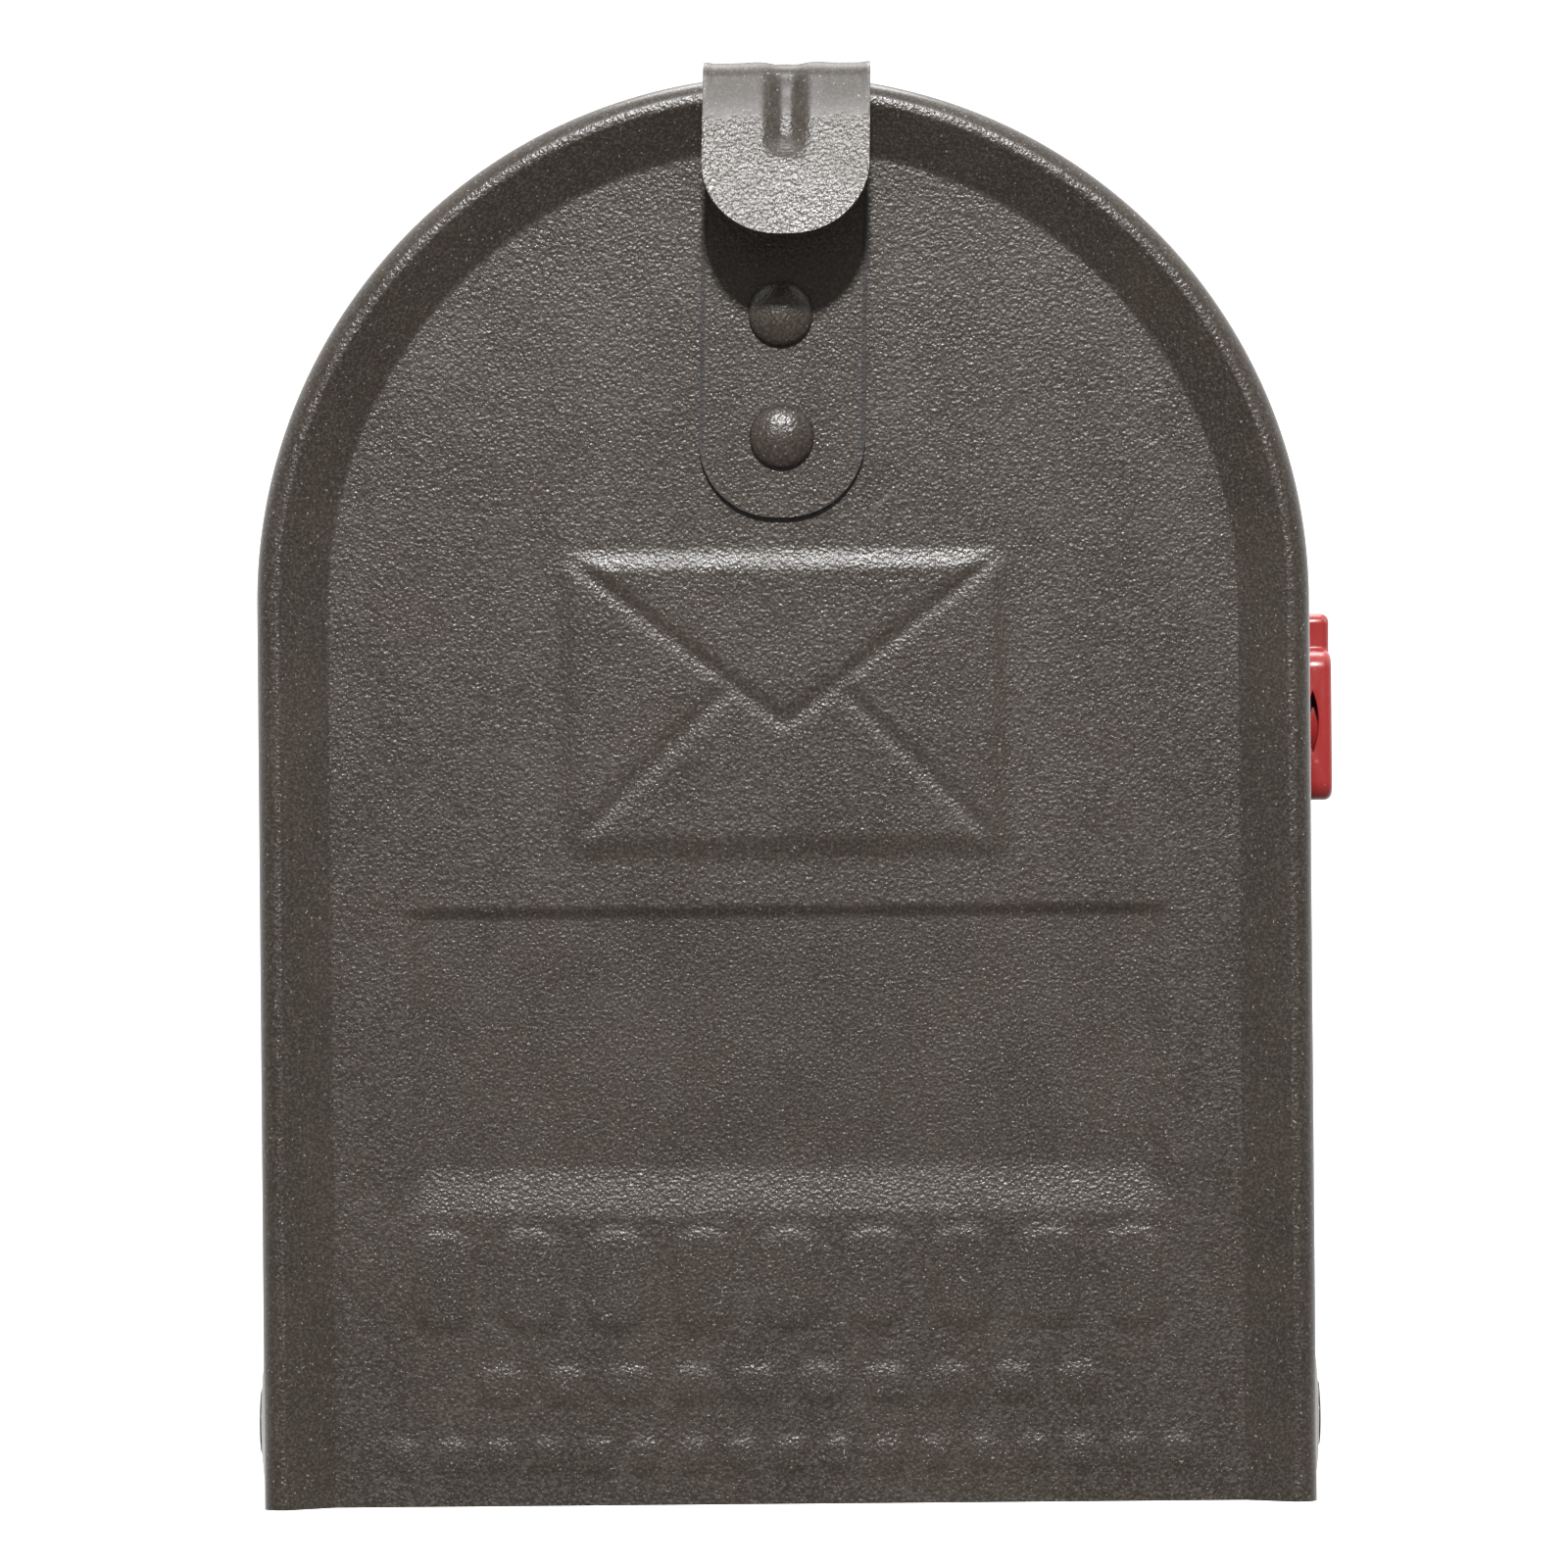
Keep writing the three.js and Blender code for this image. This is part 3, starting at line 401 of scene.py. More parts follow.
def cylinder_between(a, b, radius, sides=32):
    """A plain round bar from a to b, for cutting holes."""
    a, b = Vector(a), Vector(b)
    along = (b - a).normalized()
    across = along.orthogonal().normalized()
    other = along.cross(across)
    loops = []
    for end in (a, b):
        ring = [end + radius * (math.cos(t) * across + math.sin(t) * other)
                for t in np.linspace(0, 2 * math.pi, sides, endpoint=False)]
        loops.append([tuple(p) for p in ring])
    return loops_object("bar", loops)


def screw_holes(reach):
    """Bars through both sides, where the box is screwed to its board."""
    return [cylinder_between((-reach, y, SCREW_Z), (reach, y, SCREW_Z), SCREW_RADIUS)
            for y in SCREW_Y]


def make_body():
    corner = HINGE_SETBACK
    side_z = steps_between(BOTTOM, (HINGE.z + 2 * MM, 0.8 * MM), (10 * MM, 3 * MM), (22 * MM, MM),
                           (ARCH_Z, 6 * MM))
    stations = arch_stations(side_z, 128)
    below = np.clip(HINGE.z - stations[:, 1], 0, corner)
    front = HINGE.y - np.where(below > 0, np.sqrt(corner ** 2 - below ** 2), corner)
    bead_front = SKIRT_REAR + 3.7 * MM
    bead_rear = BODY_REAR - 3 * MM
    settle = BODY_FRONT + 11 * MM
    lead = [front + (settle - front) * t for t in np.linspace(0, 1, 7)]
    columns = steps_between(settle, (settle + 2 * MM, MM), (settle + 9 * MM, 0.35 * MM),
                            (bead_rear - 3 * MM, 11 * MM), (BODY_REAR - 0.4 * MM, 0.35 * MM),
                            (BODY_REAR, 0.4 * MM))
    rows = lead + [np.full(len(stations), y) for y in columns[1:]]
    rings = []
    on_arc = np.abs(np.sin(stations[:, 0])) > 1e-6
    fade_front = np.where(on_arc, 1, smooth((stations[:, 1] - 15 * MM) / (5 * MM)))
    fade_rear = np.where(on_arc, 1, smooth((stations[:, 1] - BOTTOM - MM) / (4 * MM)))
    for y in rows:
        rise = (bead_profile(y, bead_front, 2.3 * MM) * fade_front
                + bead_profile(y, bead_rear, 2.4 * MM) * fade_rear)
        rings.append(arch_points(stations, BODY_HALF + BEAD_RISE * rise, y))
    body = grid_object("body_skin", np.array(rings))
    face_away(body, INSIDE)
    thicken(body, SHEET)
    carve(body, screw_holes(BEAD_HALF * 1.2))
    return shade(body, 40)


# ---- Floor and rear panels

FLANGE_FRONT = -200 * MM
FLOOR_BEND = 1.6 * MM
LIP_LOW = -5 * MM
RIB_X = 40 * MM
RIB_Y = 2.5 * MM
RIB_HALF = (8.4 * MM, 190 * MM)


def make_floor():
    """A deck with two long ribs, side flanges from FLANGE_FRONT to the rear, and a lip in front."""
    half, top = FLOOR_HI.x, SHEET
    front, rear = FLOOR_LO.y, FLOOR_HI.y
    side = fillet_path([(-half, FLOOR_LO.z), (-half, top), (-28 * MM, top)], [FLOOR_BEND], steps=5)
    deck = np.array([(x, top) for x in steps_between(-50 * MM, (-30 * MM, 0.9 * MM))])
    left = np.concatenate([resample(side[:-1], 4 * MM),
                           resample(np.array([side[-2], deck[0]]), 4 * MM)[1:], deck[1:]])
    section = np.concatenate([left, left[::-1] * [-1, 1]])
    rows = steps_between(front + 2 * MM, (FLANGE_FRONT, 5 * MM), (rear, 5 * MM))
    rows = np.unique(np.concatenate([rows, steps_between(-189 * MM, (-176 * MM, 0.9 * MM)),
                                     steps_between(180 * MM, (194 * MM, 0.9 * MM))]))
    grid = np.array([[(x, y, z) for x, z in section] for y in rows])
    ribs = rounded_box_distance(np.abs(grid[..., 0]) - RIB_X, grid[..., 1] - RIB_Y, *RIB_HALF, 8.2 * MM)
    grid[..., 2] += (FLOOR_HI.z - top) * smooth(-ribs / (2.8 * MM))
    lip = fillet_path([(front, LIP_LOW), (front, top), (front + 2 * MM, top)], [FLOOR_BEND], steps=5)
    lip_rows = np.array([[(x, y, min(lip_z, z)) for x, z in section] for y, lip_z in lip[:-1]])
    floor = grid_object("floor_skin", np.concatenate([lip_rows, grid]))
    delete_faces(floor, lambda at: at.y < FLANGE_FRONT and abs(at.x) > half - FLOOR_BEND)
    face_away(floor, (0, 0, -100 * MM))
    thicken(floor, SHEET)
    carve(floor, screw_holes(half * 1.2))
    return shade(floor, 40)


def make_rear():
    """A pan with a flange around it, and an arched step pressed into its plate."""
    half = REAR_HI.x
    plate_y, flange_y = REAR_LO.y + SHEET, REAR_HI.y
    step_half, step_low, step_rise, step_slope = 58 * MM, 12 * MM, 3 * MM, 4 * MM

    def ring(offset, y):
        """Closed outline, offset inwards: bottom edge, right side, arc, left side."""
        h, low = half - offset, REAR_LO.z + offset
        base = [(x, y, low) for x in np.linspace(-h, h, 60, endpoint=False)]
        right = [(h, y, z) for z in np.linspace(low, ARCH_Z, 60, endpoint=False)]
        arc = [(h * math.cos(t), y, ARCH_Z + h * math.sin(t))
               for t in np.linspace(0, math.pi, 140, endpoint=False)]
        left = [(-h, y, z) for z in np.linspace(ARCH_Z, low, 60, endpoint=False)]
        return base + right + arc + left + base[:1]

    bend = fillet_path([(SHEET, flange_y), (SHEET, plate_y), (5 * MM, plate_y)], [1.8 * MM], steps=6)
    rings = [ring(offset, y) for offset, y in resample(bend, 3 * MM)]
    inwards = steps_between(5 * MM, (half - 0.05 * MM, 1.1 * MM))[1:]
    rings += [ring(offset, plate_y) for offset in inwards]
    points = np.array(rings)
    x, z = points[..., 0], points[..., 2]
    distance = np.where(z > ARCH_Z, np.hypot(x, z - ARCH_Z) - step_half,
                        np.maximum(np.abs(x) - step_half, step_low - z))
    flat = np.arange(len(rings))[:, None] >= len(bend)
    pressed = smooth((step_slope - distance) / step_slope) * (distance < step_slope) * flat
    points[..., 1] += step_rise * pressed
    rear = grid_object("rear_skin", points, weld=True)
    edit = bmesh.new()
    edit.from_mesh(rear.data)
    rims = [edge for edge in edit.edges
            if edge.is_boundary and edge.verts[0].co.y < flange_y - MM]
    bmesh.ops.holes_fill(edit, edges=rims)
    edit.to_mesh(rear.data)
    edit.free()
    face_away(rear, (0, -1, 80 * MM))
    thicken(rear, SHEET)
    return shade(rear, 40)


# ---- Latch strap and catch: bent strips

def strip(name, line, half_width, thickness, edge, lift=None):
    """A bent strip. line holds (y, z) points of its middle, half_width its half width at each, and
    lift(x) moves its middle towards the left of the line."""
    ahead = np.gradient(line, axis=0)
    ahead /= np.linalg.norm(ahead, axis=1, keepdims=True)
    side = np.stack([-ahead[:, 1], ahead[:, 0]], 1)
    across = np.linspace(-1, 1, 49)
    points = np.zeros((len(line), len(across), 3))
    points[..., 0] = half_width[:, None] * across
    offset = np.zeros(points.shape[:2]) if lift is None else lift(points[..., 0])
    points[..., 1:] = line[:, None, :] + side[:, None, :] * offset[..., None]
    obj = grid_object(name, points)
    thicken(obj, thickness, 0)
    ease_edges(obj, edge, 3, 50)
    return obj


def round_ends(along, half, start_radius, end_radius):
    """Half widths along a strip whose ends have rounded corners."""
    width = np.full(len(along), half)
    for distance, radius in ((along - along[0], start_radius), (along[-1] - along, end_radius)):
        short = np.clip(radius - distance, 0, radius)
        width = np.minimum(width, half - radius + np.sqrt(np.maximum(radius ** 2 - short ** 2, 0)))
    return np.maximum(width, 0.02 * MM)


def ease_end_steps(line, zone):
    """Puts more steps near both ends of a line, where its width changes fast."""
    length = np.concatenate([[0], np.cumsum(np.linalg.norm(np.diff(line, axis=0), axis=1))])
    finer = np.concatenate([zone * (1 - np.cos(np.linspace(0, math.pi / 2, 22))),
                            length[(length > zone) & (length < length[-1] - zone)],
                            length[-1] - zone * (1 - np.cos(np.linspace(math.pi / 2, 0, 22)))])
    finer = np.unique(np.round(finer, 7))
    points = np.stack([np.interp(finer, length, line[:, 0]), np.interp(finer, length, line[:, 1])], 1)
    return points, finer


STRAP_HALF = STRAP_HI.x
STRAP_THICK = 0.9 * MM
FOLD_MID_RADIUS = 3.4 * MM
TAB_TILT = math.radians(19.2)
TAB_LOW = 171 * MM
STRAP_LEAN = 0.0213
LEAN_FROM = STRAP_LO.z + 9 * MM
FOLD_DROP = 0.9 * MM
FOLD_COAT_Z = 187 * MM


def make_strap():
    back = STRAP_HI.y - STRAP_THICK / 2
    rim = DOOR_FRONT - GAP - STRAP_THICK / 2
    centre = np.array([rim - FOLD_MID_RADIUS,
                       STRAP_HI.z - FOLD_DROP - FOLD_MID_RADIUS - STRAP_THICK / 2])
    sweep = np.linspace(0, math.pi - TAB_TILT, 30)
    fold = centre + FOLD_MID_RADIUS * np.stack([np.cos(sweep), np.sin(sweep)], 1)
    drop = fold[-1][1] - TAB_LOW
    tip = fold[-1] + np.array([-math.tan(TAB_TILT), -1]) * drop
    lower = fillet_path([(back, STRAP_LO.z), (back, ARCH_Z + PANEL_EDGE),
                         (rim, ARCH_Z + RIM_INNER - MM), fold[0]], [3 * MM, 3 * MM], steps=8)
    line = resample(np.concatenate([lower, fold[1:], tip[None]]), 0.6 * MM)
    line, along = ease_end_steps(line, 11 * MM)
    corner = STRAP_HALF - 0.9 * MM
    width = round_ends(along, STRAP_HALF, corner, corner)
    fold_start = along[np.argmin(np.linalg.norm(line - fold[0], axis=1))]
    top = fold_start + FOLD_MID_RADIUS * math.pi / 2

    def gusset(x):
        """A groove pressed into the tab from the top of the fold, with a faint swelling beside it."""
        past = (along - top)[:, None]
        depth = (0.35 * MM * smooth((past + 4 * MM) / (4 * MM))
                 + 1.0 * MM * smooth((past - 2 * MM) / (5 * MM)))
        depth = depth * smooth((17.8 * MM - past) / (4.5 * MM))
        groove = smooth((3.8 * MM - np.abs(x)) / (3.2 * MM))
        swell = 0.14 * MM * np.exp(-((np.abs(x) - 4.6 * MM) / (1.6 * MM)) ** 2)
        curl = 0.22 * MM * smooth((np.abs(x) - 11 * MM) / (1.8 * MM))
        crown = smooth((past + 5 * MM) / (4 * MM)) * smooth((9 * MM - past) / (6 * MM))
        return depth * groove - (swell + curl - 0.24 * MM) * crown

    strap = strip("latch_strap_skin", line, width, STRAP_THICK, 0.35 * MM, gusset)
    x, y, z = np.array([v.co for v in strap.data.vertices]).T
    folded = smooth((z - FOLD_COAT_Z) / (4.6 * MM)) * (y < rim - 2 * MM)
    mark(strap, "smooth_coat", folded)
    mark(strap, "satin", folded)
    reach = np.interp(z, line[:, 1][:len(lower)], width[:len(lower)])
    # Painted shade: marks the strap's outer edges below the tab. The coat's material darkens them
    # nearly to black, standing in for the shade in the gap beside the strap.
    mark(strap, "painted_crevice_shade", (np.abs(x) > reach - 0.4 * MM) & (z < TAB_LOW + 8 * MM) & (y > rim))
    for vertex in strap.data.vertices:
        vertex.co.x += STRAP_LEAN * (vertex.co.z - LEAN_FROM)
    return shade(strap, 50)


CATCH_BEND = (-212 * MM, -218 * MM)


def make_catch():
    """A leaf that rises from its two rivets over the skirt, with a nose that dips into the slot."""
    thick = 0.8 * MM
    seat = CROWN_Z + GAP + thick / 2
    raised = ARCH_Z + BEAD_HALF + GAP + thick / 2
    nose = ARCH_Z + DOOR_HALF - 0.5 * MM + thick / 2
    nose_y = BODY_FRONT + 5 * MM
    line = fillet_path(
        [(CATCH_HI.y, seat), (CATCH_BEND[0], seat), (CATCH_BEND[1], raised),
         (nose_y + 2.5 * MM, raised), (nose_y + 0.6 * MM, nose), (nose_y - 0.6 * MM, nose),
         (nose_y - 2.5 * MM, raised), (CATCH_LO.y, raised)],
        [3 * MM, 3 * MM, 0.8 * MM, 0.5 * MM, 0.5 * MM, 0.8 * MM], steps=6)
    line = resample(line, 0.9 * MM)
    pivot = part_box("catch_rivet_right")[0].y + 3.4 * MM
    taper = smooth((pivot - 20 * MM - line[:, 0]) / (20 * MM))
    along = np.concatenate([[0], np.cumsum(np.linalg.norm(np.diff(line, axis=0), axis=1))])
    corner = 3 * MM
    width = round_ends(along, CATCH_HI.x, corner, 0.1 * MM) - taper * (CATCH_HI.x - 6 * MM)
    near_tip = np.clip(corner - (along[-1] - along), 0, corner)
    width = width - (corner - np.sqrt(np.maximum(corner ** 2 - near_tip ** 2, 0)))
    return shade(strip("catch_skin", line, np.maximum(width, 0.3 * MM), thick, 0.2 * MM), 50)


# ---- Rivets and washers

def turned(profile, origin, axis, segments=56):
    """Loops for a profile of (radius, height) points turned about an axis through the origin."""
    origin, axis = Vector(origin), Vector(axis).normalized()
    across = axis.orthogonal().normalized()
    other = axis.cross(across)
    ring = np.linspace(0, 2 * math.pi, segments, endpoint=False)
    loops = []
    for radius, height in profile:
        radius = max(radius, 0.01 * MM)
        loops.append([tuple(origin + axis * height
                            + radius * (math.cos(t) * across + math.sin(t) * other)) for t in ring])
    return loops


def rivet(name, origin, axis, head, rise, shank, grip, tail, tail_rise):
    """Domed head with an eased rim, shank, and a formed tail with an upset crown. The head's
    underside is at origin."""
    rim = min(0.25 * MM, rise * 0.4)
    profile = [(tail * share, -grip - tail_rise * height) for share, height in
               ((0, 1), (0.35, 1), (0.7, 0.93), (0.93, 0.6), (1, 0.25), (0.97, 0))]
    profile += [(shank, -grip), (shank, 0), (head - rim * 0.5, 0), (head, rim * 0.5)]
    for t in np.linspace(0.08, 1, 14):
        angle = t * math.pi / 2
        height = rim * 0.5 + (rise - rim * 0.5) * math.sin(angle)
        profile.append((head * math.cos(angle), height))
    return shade(loops_object(name, turned(profile, origin, axis)), 40)


def washer(name, origin, axis, outer, inner, thickness):
    """A flat ring with eased edges, standing on origin."""
    ease = min(0.2 * MM, thickness * 0.3)
    profile = [(inner, ease), (inner + ease, 0), (outer - ease, 0), (outer, ease),
               (outer, thickness - ease), (outer - ease, thickness),
               (inner + ease, thickness), (inner, thickness - ease)]
    return shade(loops_object(name, turned(profile, origin, axis), closed=True), 40)


def wave_washer(name, origin, axis, outer, inner, thickness, wave):
    """A spring washer: a thin ring with three waves."""
    obj = washer(name, (0, 0, 0), (0, 0, 1), outer, inner, thickness - wave)
    for v in obj.data.vertices:
        v.co.z += wave * (0.5 + 0.5 * math.cos(3 * math.atan2(v.co.y, v.co.x)))
    turn = Vector((0, 0, 1)).rotation_difference(Vector(axis)).to_matrix().to_4x4()
    turn.translation = Vector(origin)
    obj.data.transform(turn)
    return shade(obj, 40)


SHANK = 2.4 * MM
HOLE = SHANK + GAP


def make_hardware():
    """(piece, node, body, slot) for every rivet and washer, placed by its node's box."""
    made = []

    def add_rivet(node, origin, axis, head, rise, shank, length, tail, tail_rise, body, slot):
        grip = length - rise - tail_rise
        piece = rivet(f"{node}_fine", origin, axis, head, rise, shank, grip, tail, tail_rise)
        made.append((piece, node, body, slot))

    for side, sign in (("left", -1), ("right", 1)):
        out = (sign, 0, 0)
        node = f"hinge_rivet_{side}"
        low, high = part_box(node)
        outer = high.x if sign > 0 else low.x
        rise = 0.5 * MM
        add_rivet(node, (outer - sign * rise, HINGE.y, HINGE.z), out, 5 * MM, rise, SHANK,
                  high.x - low.x, 4 * MM, 1.2 * MM, "body", "zinc_steel")
        node = f"hinge_washer_{side}"
        low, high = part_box(node)
        start = (low.x if sign > 0 else high.x, HINGE.y, HINGE.z)
        ring = washer(f"{node}_fine", start, out, 8 * MM, HOLE, high.x - low.x)
        made.append((ring, node, "body", "nylon"))
        for station in ("front", "middle", "rear"):
            node = f"floor_rivet_{side}_{station}"
            low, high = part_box(node)
            mid = (low + high) / 2
            outer = high.x if sign > 0 else low.x
            rise = 1.4 * MM
            add_rivet(node, (outer - sign * rise, mid.y, mid.z), out, 4.2 * MM, rise, SHANK,
                      high.x - low.x, 3.8 * MM, 1.2 * MM, "body", "bronze_coat")
        node = f"catch_rivet_{side}"
        low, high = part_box(node)
        mid = (low + high) / 2
        rise = 1.2 * MM
        add_rivet(node, (mid.x, mid.y, high.z - rise), (0, 0, 1), 3.2 * MM, rise, SHANK,
                  high.z - low.z, 3.4 * MM, MM, "body", "zinc_steel")
    for level in ("upper", "lower"):
        node = f"strap_rivet_{level}"
        low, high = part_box(node)
        rise, sunk = 2.3 * MM, 0.3 * MM
        add_rivet(node, (0, low.y + rise + sunk, (low.z + high.z) / 2), (0, -1, 0), 4.95 * MM, rise,
                  SHANK, high.y - low.y - sunk, 4 * MM, 1.3 * MM, "door", "bronze_coat")
    for name, degrees, z in (("low_left", 180, 40 * MM), ("low_right", 0, 40 * MM),
                             ("high_left", 135, ARCH_Z), ("high_right", 45, ARCH_Z),
                             ("crown", 90, ARCH_Z)):
        node = f"rear_rivet_{name}"
        low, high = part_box(node)
        angle = math.radians(degrees)
        out = Vector((math.cos(angle), 0, math.sin(angle)))
        origin = Vector((0, (low.y + high.y) / 2, z)) + out * (BODY_HALF + GAP)
        rise, grip = 1.1 * MM, BODY_HALF - REAR_HI.x + SHEET + 2 * GAP
        add_rivet(node, origin, out, 3 * MM, rise, 1.6 * MM, grip + rise + MM, 2.6 * MM, MM,
                  "body", "bronze_coat")
    y, z = FLAG_PIVOT.y, FLAG_PIVOT.z
    node = "flag_pivot_rivet"
    low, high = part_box(node)
    rise = 1.6 * MM
    add_rivet(node, (high.x - rise, y, z), (1, 0, 0), 5.8 * MM, rise, SHANK, high.x - low.x,
              4.2 * MM, 1.4 * MM, "body", "zinc_steel")
    for node, outer, slot in (("flag_washer", 9 * MM, "nylon"),
                              ("flag_backing_washer", 8 * MM, "zinc_steel")):
        low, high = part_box(node)
        ring = washer(f"{node}_fine", (low.x, y, z), (1, 0, 0), outer, HOLE, high.x - low.x)
        made.append((ring, node, "body", slot))
    node = "flag_spring_washer"
    low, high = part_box(node)
    ring = wave_washer(f"{node}_fine", (low.x, y, z), (1, 0, 0), 8 * MM, HOLE, high.x - low.x,
                       0.3 * MM)
    made.append((ring, node, "body", "zinc_steel"))
    return made


# ---- Signal flag: one hollow moulding

FLAG_WALL = 2 * MM
FLAG_CORNER = 6 * MM
FLAG_DROP = 1.2 * MM
FLAG_FACE = FLAG_HI.x - 0.5 * MM
NOSE_CORNER = 3 * MM
NOSE_HALF = 12 * MM
STEP_SETBACK = 6.5 * MM
STEP_ROUND = 1.6 * MM
STEP_FILLET = 0.8 * MM
STEP_LEAN = 0.6 * MM
RIB_PLACES = (35 * MM, 75 * MM, 110 * MM)


def flag_outline(inset):
    """Side outline as (y, z) points: a low nose that steps up into the blade."""
    front, rear = FLAG_LO.y + inset, FLAG_HI.y - inset
    low, high = FLAG_LO.z - FLAG_DROP + inset, FLAG_HI.z - FLAG_DROP - inset
    nose_high = FLAG_PIVOT.z - FLAG_DROP + NOSE_HALF - inset
    step = FLAG_LO.y + STEP_SETBACK + inset

    def corner(y, z, radius, start, sweep=90):
        """An arc about (y, z) from the start angle, in degrees."""
        angles = np.radians(np.linspace(start, start + sweep, 11))
        return [(y + radius * math.cos(t), z + radius * math.sin(t)) for t in angles]

    rear_r = FLAG_CORNER - inset
    nose_r = NOSE_CORNER - inset
    step_r = max(STEP_ROUND - inset, 0.1 * MM)
    fillet = STEP_FILLET + inset
    return (corner(rear - rear_r, low + rear_r, rear_r, -90)
            + corner(rear - rear_r, high - rear_r, rear_r, 0)
            + corner(step + step_r, high - step_r, step_r, 90)
            + corner(step + STEP_LEAN - fillet, nose_high + fillet, fillet, 0, -90)
            + corner(front + nose_r, nose_high - nose_r, nose_r, 90)
            + corner(front + nose_r, low + nose_r, nose_r, 180))


def flag_slab(name, levels):
    """A solid through outlines at given (x, inset) levels."""
    loops = [[(x, y, z) for y, z in flag_outline(inset)] for x, inset in levels]
    return loops_object(name, loops)


def bar_x(y, z, low, high, radius):
    return cylinder_between((low, y, z), (high, y, z), radius, 48)


def block(low, high):
    """A box between two corners, for cutting and for ribs."""
    (x0, y0, z0), (x1, y1, z1) = low, high
    loops = [[(x, y0, z0), (x, y1, z0), (x, y1, z1), (x, y0, z1)] for x in (x0, x1)]
    return loops_object("block", loops)


def end_slot():
    """A lens-shaped opening through the flag's front end wall."""
    mid_x, mid_z = FLAG_FACE - 3.1 * MM, FLAG_PIVOT.z - 0.6 * MM
    half_x, half_z = 0.95 * MM, 5 * MM
    side = np.linspace(-1, 1, 15)
    lens = [(mid_x + half_x * (1 - t * t), t * half_z) for t in side]
    lens += [(mid_x - half_x * (1 - t * t), t * half_z) for t in side[::-1][1:-1]]
    loops = [[(x, y, mid_z + z) for x, z in lens] for y in (FLAG_LO.y - MM, FLAG_LO.y + 4 * MM)]
    return loops_object("slot", loops)


def make_flag():
    y, z = FLAG_PIVOT.y, FLAG_PIVOT.z
    back, face = FLAG_LO.x, FLAG_FACE
    edge = 1.3 * MM
    rounding = [(face - edge + edge * math.sin(t), edge * (1 - math.cos(t)))
                for t in np.linspace(0, math.pi / 2, 6)]
    flag = flag_slab("flag_skin", [(back, 0.25 * MM), (back + 0.25 * MM, 0)] + rounding)
    inside = face - FLAG_WALL
    pocket = flag_slab("pocket", [(back - MM, FLAG_WALL), (inside - 0.5 * MM, FLAG_WALL),
                                  (inside, FLAG_WALL + 0.5 * MM)])
    carve(flag, [pocket])
    bore_floor = FLAG_HI.x - 2.2 * MM
    hub = bar_x(y, z, back + 0.02 * MM, inside + 0.5 * MM, 8 * MM)
    ribs = [block((back + MM, y + at - 0.8 * MM, z - 11 * MM),
                  (inside + 0.5 * MM, y + at + 0.8 * MM, z + 11 * MM)) for at in RIB_PLACES]
    carve(flag, [hub] + ribs, "UNION")
    bores = [end_slot(), bar_x(y, z, bore_floor, face + MM, 6.4 * MM),
             bar_x(y, z, back - MM, face + MM, HOLE)]
    recess = block((face - 0.6 * MM, FLAG_LO.y + 72 * MM, FLAG_LO.z - FLAG_DROP + 7 * MM),
                   (face + MM, FLAG_HI.y - 10 * MM, FLAG_HI.z - FLAG_DROP - 7 * MM))
    carve(flag, bores + [recess])
    ease_edges(flag, 0.18 * MM, 2, 55)
    return shade(flag, 45)


# ---- Finishes

RANGE = ("From Min", "From Max", "To Min", "To Max")


